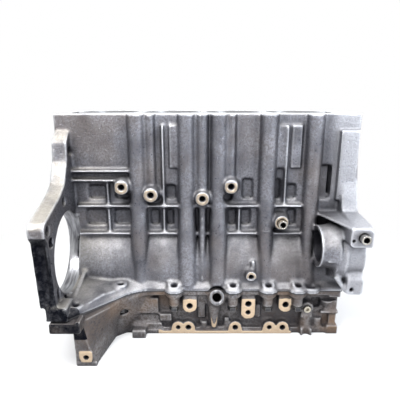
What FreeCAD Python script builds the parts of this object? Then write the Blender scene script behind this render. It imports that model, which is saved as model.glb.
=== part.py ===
import FreeCAD, Part
import math
import operator
import os
import Sketcher

# Aluminium four-cylinder in-line engine block with its bedplate bolted below.
# Millimetres. Origin: crankshaft axis, halfway along the cylinders, on the parting plane.
# +X points to the timing end, -Y to the side with the starter opening, +Z up to the deck.

SIZES = {
    # Cylinders and deck
    "bore": 75,
    "bore_pitch": 84,
    "liner_wall": 2.5,
    "liner_length": 138,
    "skirt_clearance": 1,
    "deck_height": 230,
    "barrel_half_width": 58,
    "jacket_seat": 4,
    "jacket_gap": 8,
    "jacket_depth": 84,
    "head_bolt_hole": 11,
    "head_bolt_offset": 49,
    "head_bolt_depth": 105,
    # Crankcase
    "crank_bore": 54,
    "bulkhead": 22,
    "crank_room_radius": 67,
    "crankcase_half_width": 76,
    "crankcase_top": 72,
    "crankcase_straight": 9,
    "crankcase_arc": 109,
    "seal_bore": 92,
    "seal_depth": 9,
    "pump_bore": 100,
    "pump_depth": 20,
    # Ends of the block
    "gearbox_face": 187,
    "gearbox_plate": 19,
    "timing_face": 200,
    "timing_plate": 21,
    "flange_reach": 166,
    "flange_shoulder": 113,
    "flange_foot": 155,
    "flange_far": 122,
    "flange_bolt_hole": 10.5,
    "starter_y": 92,
    "starter_z": 60,
    "starter_bore": 103,
    "starter_depth": 22,
    # Parting flanges
    "parting_flange": 12,
    "parting_rim": 4,
    "parting_half_width": 84,
    "parting_step": 2,
    "corner_x": 157,
    "corner_y": 155,
    "lug_radius": 9,
    "lug_slope_top": 15,
    "lug_slope_low": 5,
    "lug_bulge": 14,
    "lug_line": 84,
    "flange_bolt": 7,
    "flange_bolt_gap": 0.4,
    "lug_drop": 22,
    # Walls and ribs
    "column_offset": 60,
    "column_radius": 11,
    "column_lean": 0.105,
    "column_seam": 116,
    "nose_low": 39,
    "nose_high": 77,
    "rib_reach": 9,
    "rib_thickness": 3.6,
    "rib_high": 112,
    "rib_low": 74,
    "pocket_depth": 5,
    "boss_face": 76,
    "boss_radius": 9,
    "boss_hole": 8,
    "boss_hole_depth": 20,
    # Water port and pump housing
    "port_x": 146,
    "port_y": 86,
    "port_z": 65,
    "port_radius": 27,
    "port_bore": 39,
    "volute_x": 166,
    "volute_y": 76,
    "volute_z": 58,
    "volute_radius": 38,
    # Ear of the timing flange
    "ear_reach": 128,
    "ear_top": 101,
    "ear_bottom": 79,
    "ear_width": 27,
    "shelf_height": 108,
    "bracket_reach": 115,
    "bracket_top": 30,
    "bracket_bottom": 10,
    "bracket_width": 20,
    # Bedplate
    "bedplate_depth": 67,
    "bedplate_half_width": 73,
    "bedplate_timing_face": 186,
    "bedplate_flange": 8,
    "sump_flange": 9,
    "sump_half_width": 80,
    "pad_face": 82,
    "pad_hole": 8,
    "pad_hole_depth": 16,
    "dip_radius": 12.5,
    "dip_gap": 1.5,
    "dip_ring": 10.5,
    "dip_bore": 11.4,
    "main_bolt": 11,
    "main_bolt_gap": 0.4,
    "main_bolt_offset": 43,
    "main_bolt_length": 112,
    "main_bolt_head": 8,
    "main_bolt_flange": 20,
    "main_bolt_recess": 12,
    "foot_reach": 147,
    "foot_left": 154,
    "foot_right": 129,
    "bar_reach": 161,
    "bar_left": 177,
    "bar_right": 141,
    "bar_top": 2.5,
    "bar_bottom": 15,
    # Small pieces
    "dowel_radius": 5.5,
    "dowel_bore": 7.4,
    "dowel_length": 18,
    "dowel_proud": 8,
    "ring_radius": 8,
    "ring_length": 14,
    "sealant_width": 1.2,
    "sealant_height": 1.6,
    "gallery_y": 60,
    "gallery_z": 52,
    "gallery_radius": 11,
    "gallery_bore": 12,
    "plug_depth": 8,
    "jet_radius": 3,
    "jet_gap": 0.3,
    "jet_seat": 12,
    "spot_face": 8,
    "drain_hole": 10,
}

V = FreeCAD.Vector
doc = FreeCAD.newDocument("engine_block")
sheet = doc.addObject("Spreadsheet::Sheet", "Sizes")
for row, (name, value) in enumerate(SIZES.items(), start=1):
    sheet.set("A%d" % row, name)
    sheet.set("B%d" % row, str(value))
    sheet.setAlias("B%d" % row, name)
doc.recompute()

OPERATORS = {"+": operator.add, "-": operator.sub, "*": operator.mul, "/": operator.truediv}


class Size:
    # A length that knows its number and the sheet formula that it comes from.
    def __init__(self, number, formula):
        self.number = number
        self.formula = formula

    def __add__(self, other):
        return combine(self, "+", other)

    def __radd__(self, other):
        return combine(other, "+", self)

    def __sub__(self, other):
        return combine(self, "-", other)

    def __rsub__(self, other):
        return combine(other, "-", self)

    def __mul__(self, other):
        return combine(self, "*", other)

    def __rmul__(self, other):
        return combine(other, "*", self)

    def __truediv__(self, other):
        return combine(self, "/", other)

    def __neg__(self):
        return combine(-1, "*", self)


def lift(value):
    if isinstance(value, Size):
        return value
    return Size(float(value), "(%r)" % float(value))


def combine(first, sign, second):
    first, second = lift(first), lift(second)
    number = OPERATORS[sign](first.number, second.number)
    return Size(number, "(%s %s %s)" % (first.formula, sign, second.formula))


class Sheet:
    def __getattr__(self, name):
        return Size(float(SIZES[name]), "Sizes." + name)


s = Sheet()

AXES = {
    "+X": V(1, 0, 0),
    "-X": V(-1, 0, 0),
    "+Y": V(0, 1, 0),
    "-Y": V(0, -1, 0),
    "+Z": V(0, 0, 1),
    "-Z": V(0, 0, -1),
}
# Sketch planes: x and y of the sketch run along the named axes.
PLANES = {
    "XY": (FreeCAD.Rotation(0, 0, 0, 1), "z"),
    "YZ": (FreeCAD.Rotation(0.5, 0.5, 0.5, 0.5), "x"),
    "XZ": (FreeCAD.Rotation(V(1, 0, 0), 90), "y"),
}
NEAR, FAR = -1, 1
LEAN = V(0, -0.9, 0.436)


def bind(item, **sizes):
    for name, size in sizes.items():
        item.setExpression(name, lift(size).formula)
    return item


def place(item, point):
    for axis, size in zip("xyz", point):
        item.setExpression("Placement.Base." + axis, lift(size).formula)
    return item


def turn(item, rotation):
    item.Placement = FreeCAD.Placement(V(), rotation)
    return item


def box(name, low, high):
    item = doc.addObject("Part::Box", name)
    bind(item, Length=high[0] - lift(low[0]), Width=high[1] - lift(low[1]), Height=high[2] - lift(low[2]))
    return place(item, low)


def rod(name, start, axis, radius, length):
    item = doc.addObject("Part::Cylinder", name)
    direction = AXES[axis] if isinstance(axis, str) else axis
    turn(item, FreeCAD.Rotation(V(0, 0, 1), direction))
    bind(item, Radius=radius, Height=length)
    return place(item, start)


def ball(name, centre, radius):
    item = doc.addObject("Part::Sphere", name)
    return place(bind(item, Radius=radius), centre)


def cone(name, start, axis, radius, end_radius, length):
    item = doc.addObject("Part::Cone", name)
    direction = AXES[axis] if isinstance(axis, str) else axis
    turn(item, FreeCAD.Rotation(V(0, 0, 1), direction))
    bind(item, Radius1=radius, Radius2=end_radius, Height=length)
    return place(item, start)


def outline(name, plane, points, level):
    # Closed profile. A third value in a point makes the side that starts there an arc of that
    # radius, bulging to the right of the way the points run (to the left if a fourth value is True).
    rotation, axis = PLANES[plane]
    item = doc.addObject("Sketcher::SketchObject", name)
    turn(item, rotation)
    item.setExpression("Placement.Base." + axis, lift(level).formula)
    count = len(points)
    flat = [V(lift(p[0]).number, lift(p[1]).number, 0) for p in points]
    for i, point in enumerate(points):
        start, end = flat[i], flat[(i + 1) % count]
        if len(point) > 2:
            radius = lift(point[2]).number
            chord = end - start
            half = chord.Length / 2
            rise = radius - math.sqrt(radius * radius - half * half)
            side = V(chord.y, -chord.x, 0).normalize()
            if len(point) > 3:
                item.addGeometry(Part.Arc(end, (start + end) / 2 - side * rise, start))
            else:
                item.addGeometry(Part.Arc(start, (start + end) / 2 + side * rise, end))
        else:
            item.addGeometry(Part.LineSegment(start, end))
    for i in range(count):
        # An arc drawn clockwise keeps its ends swapped, so ends are matched by place.
        ends = [item.Geometry[i].StartPoint, item.Geometry[i].EndPoint]
        first = 1 if (ends[0] - flat[i]).Length < (ends[1] - flat[i]).Length else 2
        following = item.Geometry[(i + 1) % count]
        corner = flat[(i + 1) % count]
        second = 1 if (following.StartPoint - corner).Length < (following.EndPoint - corner).Length else 2
        item.addConstraint(Sketcher.Constraint("Coincident", i, 3 - first, (i + 1) % count, second))
        for kind, value in (("DistanceX", points[i][0]), ("DistanceY", points[i][1])):
            size = lift(value)
            index = item.addConstraint(Sketcher.Constraint(kind, -1, 1, i, first, size.number))
            item.setExpression("Constraints[%d]" % index, size.formula)
        if len(points[i]) > 2:
            size = lift(points[i][2])
            index = item.addConstraint(Sketcher.Constraint("Radius", i, size.number))
            item.setExpression("Constraints[%d]" % index, size.formula)
    return item


def slab(name, plane, points, level, thickness):
    # Profile at a level, made solid along +Z, +X or, for the XZ plane, along -Y.
    profile = outline(name + "_profile", plane, points, level)
    item = doc.addObject("Part::Extrusion", name)
    item.Base = profile
    item.DirMode = "Normal"
    item.Solid = True
    return bind(item, LengthFwd=thickness)


def loft(name, sections):
    item = doc.addObject("Part::Loft", name)
    item.Sections = sections
    item.Solid = True
    item.Ruled = True
    return item


def fuse(name, shapes):
    item = doc.addObject("Part::MultiFuse", name)
    item.Shapes = shapes
    item.Refine = False
    return item


def cut(name, base, tool):
    item = doc.addObject("Part::Cut", name)
    item.Base = base
    item.Tool = tool
    item.Refine = False
    return item


def soften(name, base, radius, wanted):
    # Rounded edges of a simple form, chosen by a test on each edge.
    doc.recompute()
    item = doc.addObject("Part::Fillet", name)
    item.Base = base
    edges = base.Shape.Edges
    item.Edges = [(i, radius.number, radius.number) for i, e in enumerate(edges, start=1) if wanted(e)]
    return item


def along(axis):
    # Test for a straight edge along an axis.
    def test(edge):
        return edge.Curve.TypeId == "Part::GeomLine" and abs(edge.tangentAt(edge.FirstParameter)[axis]) > 0.999

    return test


def ring(name, start, axis, radius, bore_radius, length):
    outer = rod(name + "_outer", start, axis, radius, length)
    inner = rod(name + "_inner", start, axis, bore_radius, length)
    return cut(name, outer, inner)


def pieces(label, items):
    item = doc.addObject("Part::Compound", label)
    item.Links = items
    item.Label = label
    return item


# Places that several pieces share
cylinders = [s.bore_pitch * k for k in (-1.5, -0.5, 0.5, 1.5)]
bearings = [s.bore_pitch * k for k in (-2, -1, 0, 1, 2)]
bay = s.bore_pitch - s.bulkhead
liner_radius = s.bore / 2 + s.liner_wall
liner_foot = s.deck_height - s.liner_length
block_length = s.gearbox_face + s.timing_face
bolt_line = [(-107.5, 87), (-37.5, 84), (41, 84), (88, 84), (128, 84)]
near_bolts = [(s.bore_pitch * (x / 84), -(s.lug_line + (y - 84))) for x, y in bolt_line]
near_bolts.append((-(s.corner_x - 5), -(s.corner_y - 19)))
far_bolts = [(b + s.bore_pitch * 0.14, s.lug_line) for b in bearings[1:4]]
far_bolts += [(s.bore_pitch * -1.62, s.lug_line + 6), (s.bore_pitch * 1.55, s.lug_line)]


def parting_plan(inset):
    # Plan of the parting flange, which sweeps out to the gearbox flange on the starter side.
    wide = s.parting_half_width - inset
    reach = s.corner_y - inset
    left = s.corner_x + 22
    return [
        (-left, -reach),
        (-s.corner_x, -reach),
        (-s.corner_x + 52, -reach + 53, 62, True),
        (-s.corner_x + 96, -wide),
        (s.bedplate_timing_face, -wide),
        (s.bedplate_timing_face, wide),
        (-s.corner_x + 60, wide),
        (-s.corner_x + 20, s.flange_far - 12 - inset),
        (-left, s.flange_far - 12 - inset),
    ]


# Cylinder block
def barrel():
    # Straight upper walls, with the crankcase bulging out below them.
    half = s.barrel_half_width
    low = s.crankcase_half_width
    arc = s.crankcase_arc
    profile = [
        (half, s.deck_height),
        (-half, s.deck_height),
        (-half, s.crankcase_top, arc),
        (-low, s.crankcase_straight),
        (-low, 0),
        (low, 0),
        (low, s.crankcase_straight, arc),
        (half, s.crankcase_top),
    ]
    walls = slab("barrel", "YZ", profile, -s.gearbox_face, block_length)
    found = [walls]
    proud = 1.6
    for number, (start, end) in enumerate(((-1.98, -1.46), (-0.72, -0.36), (0.41, 0.86), (1.1, 1.5)), start=1):
        panel = [
            (-half + 8, s.crankcase_top - 3),
            (-half - 1, s.crankcase_top - 3, arc),
            (-low - proud, s.crankcase_straight),
            (-low + 8, s.crankcase_straight),
        ]
        found.append(slab("skirt_%d" % number, "YZ", panel, s.bore_pitch * start, s.bore_pitch * (end - start)))
    return found


def pockets():
    # Core pockets sunk in the near wall above and between the ledges, from where to where along it.
    wall = s.barrel_half_width
    upper = [(-1.78, -1.5, 27), (-1.37, -1.14, 25), (-0.58, -0.41, 27), (0.62, 0.79, 35), (1.11, 1.22, 35),
             (1.31, 1.47, 28), (1.76, 1.99, 53)]
    lower = [(-1.85, -1.51), (-1.4, -1.12), (-0.82, -0.67), (-0.57, -0.45), (0.4, 0.54), (0.61, 0.77), (1.34, 1.49)]
    spans = [(start, end, s.rib_high + 8, s.rib_high + top) for start, end, top in upper]
    spans += [(start, end, s.rib_low + 10, s.rib_high - 6) for start, end in lower]
    return [
        box("pocket_%d" % number, (s.bore_pitch * start, -wall - 1, low), (s.bore_pitch * end, -wall + s.pocket_depth, high))
        for number, (start, end, low, high) in enumerate(spans, start=1)
    ]


def columns():
    # Round columns that hold the head bolts and the oil drains.
    found = []
    places = [(NEAR, -0.99, 1.0, 0.85), (NEAR, -0.24, 1.0, 1.3), (NEAR, 0.25, 1.0, 1.25), (NEAR, 1.0, 1.0, 0.8)]
    places += [(NEAR, 1.69, 0.95, 0.9)] + [(FAR, k, 0.95, 1.0) for k in (-1.99, -1.0, 0.0, 1.0, 2.0)]
    for number, (side, k, share, foot) in enumerate(places, start=1):
        x = s.bore_pitch * k
        y = side * s.column_offset
        radius = s.column_radius * share
        upper = s.deck_height - s.column_seam
        found.append(rod("column_%d" % number, (x, y, s.column_seam), "+Z", radius, upper))
        lean = V(0, side * SIZES["column_lean"], -1)
        found.append(
            cone("column_root_%d" % number, (x, y, s.column_seam + 1), lean, radius * 0.93, radius * foot,
                 s.column_seam - s.parting_rim)
        )
    # Two columns keep their full width further down and end in a round nose.
    for number, k, level in ((1, -0.99, s.nose_low), (4, 1.0, s.nose_high)):
        length = s.column_seam - level
        y = -s.column_offset - length * s.column_lean
        found.append(
            rod("column_sleeve_%d" % number, (s.bore_pitch * k, -s.column_offset, s.column_seam + 2),
                V(0, -SIZES["column_lean"], -1), s.column_radius * 0.99, length)
        )
        found.append(ball("column_nose_%d" % number, (s.bore_pitch * k, y, level + 3), s.column_radius * 0.98))
    # Slim bar between the middle columns
    found.append(cone("centre_bar", (0, -s.column_offset + 1, s.rib_high + 10), V(0, -0.14, -1), 5, 4.5, s.rib_high))
    return found


def ribs():
    # Ledges along the walls and thin uprights between them.
    found = []
    wall = s.barrel_half_width
    depth = wall + s.rib_reach
    half = s.rib_thickness / 2
    left, right = -s.bore_pitch * 1.95, s.bore_pitch * 1.55
    for side in (NEAR, FAR):
        tag = "near" if side == NEAR else "far"
        low_y, high_y = (-depth, -wall + 4) if side == NEAR else (wall - 4, depth)
        for name, z in (("high", s.rib_high), ("low", s.rib_low)):
            found.append(box("rib_%s_%s" % (name, tag), (left, low_y, z - half), (right, high_y, z + half)))
        trim = 3 if side == NEAR else -3
        face_low, face_high = (low_y + trim, high_y) if side == NEAR else (low_y, high_y + trim)
        uprights = [(-1.465, s.rib_low, s.rib_high + 31), (-0.6, s.rib_low, s.deck_height - 14),
                    (0.58, s.rib_low, s.rib_high), (1.28, s.rib_high, s.deck_height - 14)]
        for number, (k, low, high) in enumerate(uprights, start=1):
            x = s.bore_pitch * k
            found.append(box("upright_%s_%d" % (tag, number), (x - half, face_low, low), (x + half, face_high, high)))
    # Long flat lands above the upper ledge
    for number, (start, end) in enumerate(((-0.5, -0.36), (0.38, 0.46), (1.14, 1.25), (1.34, 1.5)), start=1):
        found.append(
            box("land_%d" % number, (s.bore_pitch * start, -wall - 4, s.rib_high + 50),
                (s.bore_pitch * end, -wall + 4, s.deck_height - 14))
        )
    # Sloping double rib beside the gearbox flange
    for number, (z, reach) in enumerate(((158, -0.98), (146, -1.16)), start=1):
        height = s.rib_high + (z - 112)
        found.append(
            box("end_rib_%d" % number, (-s.gearbox_face + 4, -depth, height - half),
                (s.bore_pitch * reach, -wall + 4, height + half))
        )
    return found


def bosses():
    # Machined bosses for brackets: where along the bore pitch, how high, and a share of the radius.
    found, holes = [], []
    places = [(-1.226, 27, 1.0), (-0.786, 17, 1.0), (0.0, 12, 0.96), (0.435, 28, 0.98), (1.226, -20, 0.98)]
    for number, (k, rise, share) in enumerate(places, start=1):
        x, z = s.bore_pitch * k, s.rib_high + rise
        start = s.barrel_half_width - 4
        radius = s.boss_radius * share
        found.append(cone("boss_%d" % number, (x, -start, z), "-Y", radius + 4, radius, s.boss_face - start))
        if number < 5:
            holes.append(rod("boss_hole_%d" % number, (x, -s.boss_face - 1, z), "+Y", s.boss_hole / 2,
                             s.boss_hole_depth))
    # Tubes and webs that run up from the bosses
    for number, (k, radius, low) in enumerate(((-0.786, 6, 20), (0.0, 8, 14), (0.435, 6, 30)), start=1):
        x = s.bore_pitch * k
        found.append(
            rod("boss_tube_%d" % number, (x, -s.barrel_half_width - 2, s.rib_high + low), "+Z", radius,
                s.deck_height - s.rib_high - low)
        )
    low_x, low_z = s.bore_pitch * 0.763, s.crankcase_straight + 13
    found.append(rod("low_boss", (low_x, -s.barrel_half_width, low_z), "-Y", 7, 31))
    found.append(box("low_boss_web", (low_x + 1, -s.boss_face - 3, low_z), (low_x + 6, -s.barrel_half_width, low_z + 18)))
    holes.append(rod("low_boss_hole", (low_x, -s.barrel_half_width - 32, low_z), "+Y", 3.4, 18))
    # Core pockets that read as dark holes beside the fourth boss and the fourth column
    holes.append(rod("core_pocket_1", (s.bore_pitch * 0.4, -s.barrel_half_width - 12, s.rib_high + 11), "+Y", 6.5, 17))
    holes.append(rod("core_pocket_2", (s.bore_pitch * 1.13, -s.barrel_half_width - 12, s.rib_low + 6), "+Y", 3, 17))
    return found, holes


def gearbox_end():
    # Bell flange in the plane of the gearbox face, with the starter opening through it.
    reach, shoulder = s.flange_reach, s.flange_shoulder
    wall = s.barrel_half_width
    foot = s.flange_foot
    far = s.flange_far
    profile = [
        (-wall + 4, s.deck_height - 16),
        (-wall - 14, s.deck_height - 34),
        (-wall - 18, shoulder + 60),
        (-wall - 24, shoulder + 50),
        (-wall - 33, shoulder + 34),
        (-reach + 57, shoulder + 24),
        (-reach + 9, shoulder + 8, 12),
        (-reach, shoulder - 3),
        (-reach + 1, shoulder - 10),
        (-reach + 6, shoulder - 16),
        (-foot, 15),
        (-foot + 30, 15),
        (-foot + 30, 0),
        (far - 4, 0),
        (far, 40),
        (far - 12, 96, 90),
        (wall + 14, s.deck_height - 60),
        (wall + 10, s.deck_height - 34),
        (wall - 4, s.deck_height - 22),
    ]
    plate = slab("gearbox_flange", "YZ", profile, -s.gearbox_face, s.gearbox_plate)
    corner = box("flange_root", (-s.gearbox_face + 7, -s.corner_y - 3, 0), (-s.corner_x + 1, -s.corner_y + 25, 16))
    found = [plate, corner]
    holes = [
        rod("starter_opening", (-s.gearbox_face - 1, -s.starter_y, s.starter_z), "+X", s.starter_bore / 2,
            s.starter_depth)
    ]
    spots = [(-reach + 68, shoulder + 14, 1.0), (-reach + 12, shoulder - 4, 1.0), (-reach + 17.5, shoulder - 20, 1.1)]
    spots += [(-foot + 33, 10.5, 0.75), (far - 16, 22, 1.0), (far - 22, 84, 1.0), (wall + 2, s.deck_height - 46, 1.0)]
    spots += [(-wall - 4, s.deck_height - 46, 1.0)]
    for number, (y, z, share) in enumerate(spots, start=1):
        holes.append(
            rod("flange_hole_%d" % number, (-s.gearbox_face - 1, y, z), "+X", s.flange_bolt_hole / 2 * share,
                s.gearbox_plate + 2)
        )
    slot_y = -foot + 13.5
    slot = box("flange_slot", (-s.gearbox_face - 1, slot_y - 3, 16), (-s.gearbox_face + s.gearbox_plate + 1, slot_y + 3, 35))
    # Rough cast panel in the front edge of the flange
    panel = box("edge_panel", (-s.gearbox_face + 4, -reach - 2, 20), (-s.gearbox_face + 15, -foot + 1, shoulder - 18))
    holes += [slot, panel]
    # Gussets between the flange and the far wall
    for number, z in enumerate((36, 84), start=1):
        points = [
            (-s.gearbox_face + s.gearbox_plate - 2, s.barrel_half_width - 4),
            (-s.gearbox_face + s.gearbox_plate - 2, far - 16),
            (-s.gearbox_face + s.gearbox_plate + 48, s.barrel_half_width - 4),
        ]
        found.append(slab("far_gusset_%d" % number, "XY", points, z, 7))
    return found, holes


def parting_flange():
    # Bottom flange: a thin wavy rim, a top that slopes up to the wall, and a sloping lug round each bolt.
    found = [slab("parting_flange", "XY", parting_plan(0), 0, s.parting_rim)]
    wide, reach, top = s.parting_half_width, s.corner_y, s.parting_flange
    wall = s.crankcase_half_width - 2
    left, right = s.corner_x + 22, s.bedplate_timing_face
    corner = s.corner_x
    low_edge = [(-left, -reach + 2), (-corner + 2, -reach + 2), (-corner + 53, -reach + 55), (-corner + 74, -reach + 68),
                (-corner + 97, -wide + 1), (right, -wide + 1), (right, wide - 1), (-corner + 60, wide - 1),
                (-corner + 22, s.flange_far - 14), (-left, s.flange_far - 14)]
    high_edge = [(-left, -wall - 34), (-corner + 4, -wall - 26), (-corner + 40, -wall), (-corner + 74, -wall),
                 (-corner + 97, -wall), (right, -wall), (right, wall), (-corner + 60, wall),
                 (-corner + 22, wall + 10), (-left, wall + 10)]
    found.append(
        loft("flange_slope", [outline("slope_low", "XY", low_edge, s.parting_rim - 0.5), outline("slope_high", "XY", high_edge, top)])
    )
    plans, holes = [], []
    for number, (x, y) in enumerate(near_bolts + far_bolts, start=1):
        radius = s.lug_radius
        side = 1 if y.number > 0 else -1
        inner = side * (wall - 2)
        nose = radius * 1.02
        ends = [(x - radius, y, nose), (x + radius, y), (x + radius, inner), (x - radius, inner)]
        if side > 0:
            ends = [(x + radius, y, nose), (x - radius, y), (x - radius, inner), (x + radius, inner)]
        if number == len(near_bolts):
            found.append(rod("lug_%d" % number, (x, y, 0), "+Z", radius, s.parting_rim + 6))
        else:
            plans.append(slab("lug_plan_%d" % number, "XY", ends, 0, s.lug_slope_top + 8))
            if number == 1:
                found.append(rod("lug_collar", (x, y, 0), "+Z", radius, s.parting_flange + 1))
            else:
                found.append(rod("lug_foot_%d" % number, (x, y - side * 4, 0), "+Z", s.lug_bulge, s.parting_rim + 0.4))
        holes.append(
            rod("lug_hole_%d" % number, (x, y, -1), "+Z", s.flange_bolt / 2 + s.flange_bolt_gap, s.lug_slope_top + 12)
        )
    edge = s.lug_line + s.lug_radius + 7
    section = [(-wall + 4, 0), (-wall + 4, s.lug_slope_top + 1), (-edge + 5, s.lug_slope_low), (-edge, 0)]
    mirrored = [(edge, 0), (edge - 5, s.lug_slope_low), (wall - 4, s.lug_slope_top + 1), (wall - 4, 0)]
    span = (-s.bore_pitch * 1.9, s.bore_pitch * 3.6)
    lugs = doc.addObject("Part::MultiCommon", "sloping_lugs")
    lugs.Shapes = [
        fuse("lug_plans", plans),
        fuse("lug_sections", [slab("lug_section_near", "YZ", section, *span), slab("lug_section_far", "YZ", mirrored, *span)]),
    ]
    lugs.Refine = False
    found.append(lugs)
    oval = slab(
        "drain_slot", "XY",
        [(s.bore_pitch * 1.68, -88), (s.bore_pitch * 1.76, -88, 4), (s.bore_pitch * 1.76, -81),
         (s.bore_pitch * 1.68, -81, 4)],
        -1, s.parting_flange + 4,
    )
    found.append(rod("drain_pad", (s.bore_pitch * 1.72, -81, 0), "+Z", 13, s.parting_rim + 3))
    # Ramp in the corner by the gearbox flange, which falls away to the right and to the front
    ramp = doc.addObject("Part::MultiCommon", "corner_ramp")
    ramp_plan = [(-left + 8, -reach + 5), (-corner + 3, -reach + 5), (-corner + 51, -reach + 58), (-corner + 53, -wall),
                 (-left + 8, -wall)]
    ramp_side = [(-left + 7, 2), (-corner + 55, 2), (-corner + 55, top - 3), (-left + 7, top + 7)]
    ramp_end = [(-wall + 3, 2), (-wall + 3, top + 9), (-reach + 3, s.parting_rim + 1), (-reach + 3, 2)]
    ramp.Shapes = [
        slab("ramp_plan", "XY", ramp_plan, 1, top + 14),
        slab("ramp_side", "XZ", ramp_side, -wall + 4, reach - wall),
        slab("ramp_end", "YZ", ramp_end, -left + 5, left - corner + 60),
    ]
    ramp.Refine = False
    found.append(ramp)
    # Straight rib that climbs from the corner bolt to the wall
    ridge = slab(
        "shelf_ridge", "YZ",
        [(-s.corner_y + 22, s.parting_rim), (-wall, s.parting_rim), (-wall, top + 16), (-wall - 12, top + 12),
         (-s.corner_y + 22, s.parting_rim + 7)],
        -s.corner_x - 3, 6,
    )
    found.append(ridge)
    # The rim keeps clear of the dipstick boss on the bedplate.
    holes += [oval, rod("dip_clearance", dip_place(), LEAN, s.dip_radius + s.dip_gap, 26)]
    return found, holes


def timing_end():
    # Plate at the timing face, with the ear, its shelf, the pump housing and the water port.
    wall = s.barrel_half_width
    inner = s.timing_face - s.timing_plate
    profile = [
        (-wall + 2, s.deck_height),
        (-wall - 1, s.shelf_height + 60),
        (-wall - 14, s.shelf_height + 8),
        (-wall - 18, s.shelf_height),
        (-s.ear_reach + 8, s.ear_top + 3),
        (-s.ear_reach, s.ear_top - 5),
        (-s.ear_reach, s.ear_bottom),
        (-s.ear_reach + 14, s.ear_bottom - 4),
        (-wall - 16, s.ear_bottom - 14),
        (-wall - 16, 12),
        (-wall - 16, 0),
        (wall + 20, 0),
        (wall + 22, 70, 80),
        (wall + 6, 140),
        (wall - 2, s.deck_height),
    ]
    plate = slab("timing_plate", "YZ", profile, inner, s.timing_plate)
    ear = soften(
        "ear",
        box("ear_form", (s.timing_face - s.ear_width, -s.ear_reach, s.ear_bottom), (s.timing_face, -wall - 20, s.ear_top)),
        lift(5), along(1),
    )
    shelf = slab(
        "shelf", "XY",
        [(s.port_x + 2, -wall + 2), (s.port_x + 28, -s.ear_reach + 1), (s.timing_face - 2, -s.ear_reach + 1),
         (s.timing_face - 2, -wall + 2)],
        s.shelf_height - 9, 4,
    )
    volute = rod("volute", (s.volute_x, -s.volute_y, s.volute_z), "+X", s.volute_radius, s.timing_face - s.volute_x)
    lip = rod("volute_lip", (s.volute_x + 8, -s.volute_y, s.volute_z), "+X", s.volute_radius + 3, 5)
    port = rod("water_port", (s.port_x, -s.port_y, s.port_z), "+X", s.port_radius, s.volute_x + 4 - s.port_x)
    neck = cone("port_neck", (s.port_x + 8, -s.port_y, s.port_z), "+X", s.port_radius, s.port_radius + 4,
                s.volute_x - s.port_x - 4)
    port_tab = box("port_tab", (s.port_x + 8, -s.port_y - s.port_radius - 2, s.port_z - 12),
                   (s.port_x + 20, -s.port_y, s.port_z - 9))
    bracket_z = s.bracket_top - s.bracket_bottom
    bracket = soften(
        "bracket",
        box("bracket_form", (s.timing_face - s.bracket_width, -s.bracket_reach, s.bracket_bottom),
            (s.timing_face, -wall, s.bracket_top)),
        lift(4), along(1),
    )
    bracket_top = rod("bracket_top", (s.timing_face - s.bracket_width, -s.bracket_reach + 12, s.bracket_top - 2), "+X",
                      12, s.bracket_width)
    brace = cone("brace", (s.timing_face - s.bracket_width - 12, -s.bracket_reach + 10, s.bracket_top + 2),
                 V(0.55, -0.2, -0.8), 4, 3.5, 24)
    upper = box("timing_land", (s.timing_face - 26, -wall - 7, s.shelf_height + 12), (s.timing_face - 3, -wall + 4, s.deck_height - 20))
    found = [plate, ear, shelf, volute, lip, port, neck, port_tab, bracket, bracket_top, brace, upper]
    deep = s.timing_face - s.port_x - 8
    holes = [
        rod("port_bore", (s.port_x - 1, -s.port_y, s.port_z), "+X", s.port_bore / 2, deep),
        cone("port_chamfer", (s.port_x - 1, -s.port_y, s.port_z), "+X", s.port_bore / 2 + 4, s.port_bore / 2, 5),
        rod("ear_dowel_hole", (s.timing_face - 12, -s.ear_reach - 1, s.ear_top - 10), "+Y", s.dowel_radius,
            s.dowel_length - s.dowel_proud + 1),
        rod("ear_hole", (s.timing_face - s.ear_width + 4, -s.ear_reach - 1, s.ear_bottom + 8), "+Y", 2, 12),
        rod("bracket_hole", (s.timing_face - s.bracket_width + 6, -s.bracket_reach - 1, s.bracket_bottom + 7), "+Y",
            2.6, bracket_z),
        rod("pump_room", (s.timing_face - s.pump_depth, 0, 0), "+X", s.pump_bore / 2, s.pump_depth + 1),
    ]
    return found, holes


def sleeve_place():
    # Dowel hole in the fifth wall boss.
    return (s.bore_pitch * 1.226, -s.boss_face, s.rib_high - 20)


def jet_places():
    # Where the stem of each cooling jet enters the roof of its crank room.
    return [(x - bay / 2 + 8, s.crank_room_radius * 0.6, s.crank_room_radius * 0.8) for x in cylinders]


def far_side():
    # Oil gallery along the far wall and the flat pad for the oil filter housing.
    gallery = rod("gallery", (-s.gearbox_face, s.gallery_y, s.gallery_z), "+X", s.gallery_radius, block_length)
    pad = soften(
        "filter_pad",
        box("filter_pad_form", (s.bore_pitch * 0.3, s.barrel_half_width - 4, 80),
            (s.bore_pitch * 1.25, s.barrel_half_width + 16, 166)),
        lift(10), along(1),
    )
    holes = []
    x_low, x_high = s.bore_pitch * 0.3 + 11, s.bore_pitch * 1.25 - 11
    for number, (x, z) in enumerate(((x_low, 91), (x_high, 91), (x_low, 155), (x_high, 155)), start=1):
        holes.append(rod("filter_hole_%d" % number, (x, s.barrel_half_width + 17, z), "-Y", s.boss_hole / 2, 18))
    middle = s.bore_pitch * 0.775
    for number, (x, radius) in enumerate(((middle - 14, 9), (middle + 14, 7)), start=1):
        holes.append(rod("filter_port_%d" % number, (x, s.barrel_half_width + 17, 123), "-Y", radius, 15))
    for number, (start, axis) in enumerate(((-s.gearbox_face - 1, "+X"), (s.timing_face + 1, "-X")), start=1):
        holes.append(rod("gallery_bore_%d" % number, (start, s.gallery_y, s.gallery_z), axis, s.gallery_bore / 2, 60))
    return [gallery, pad], holes


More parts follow.
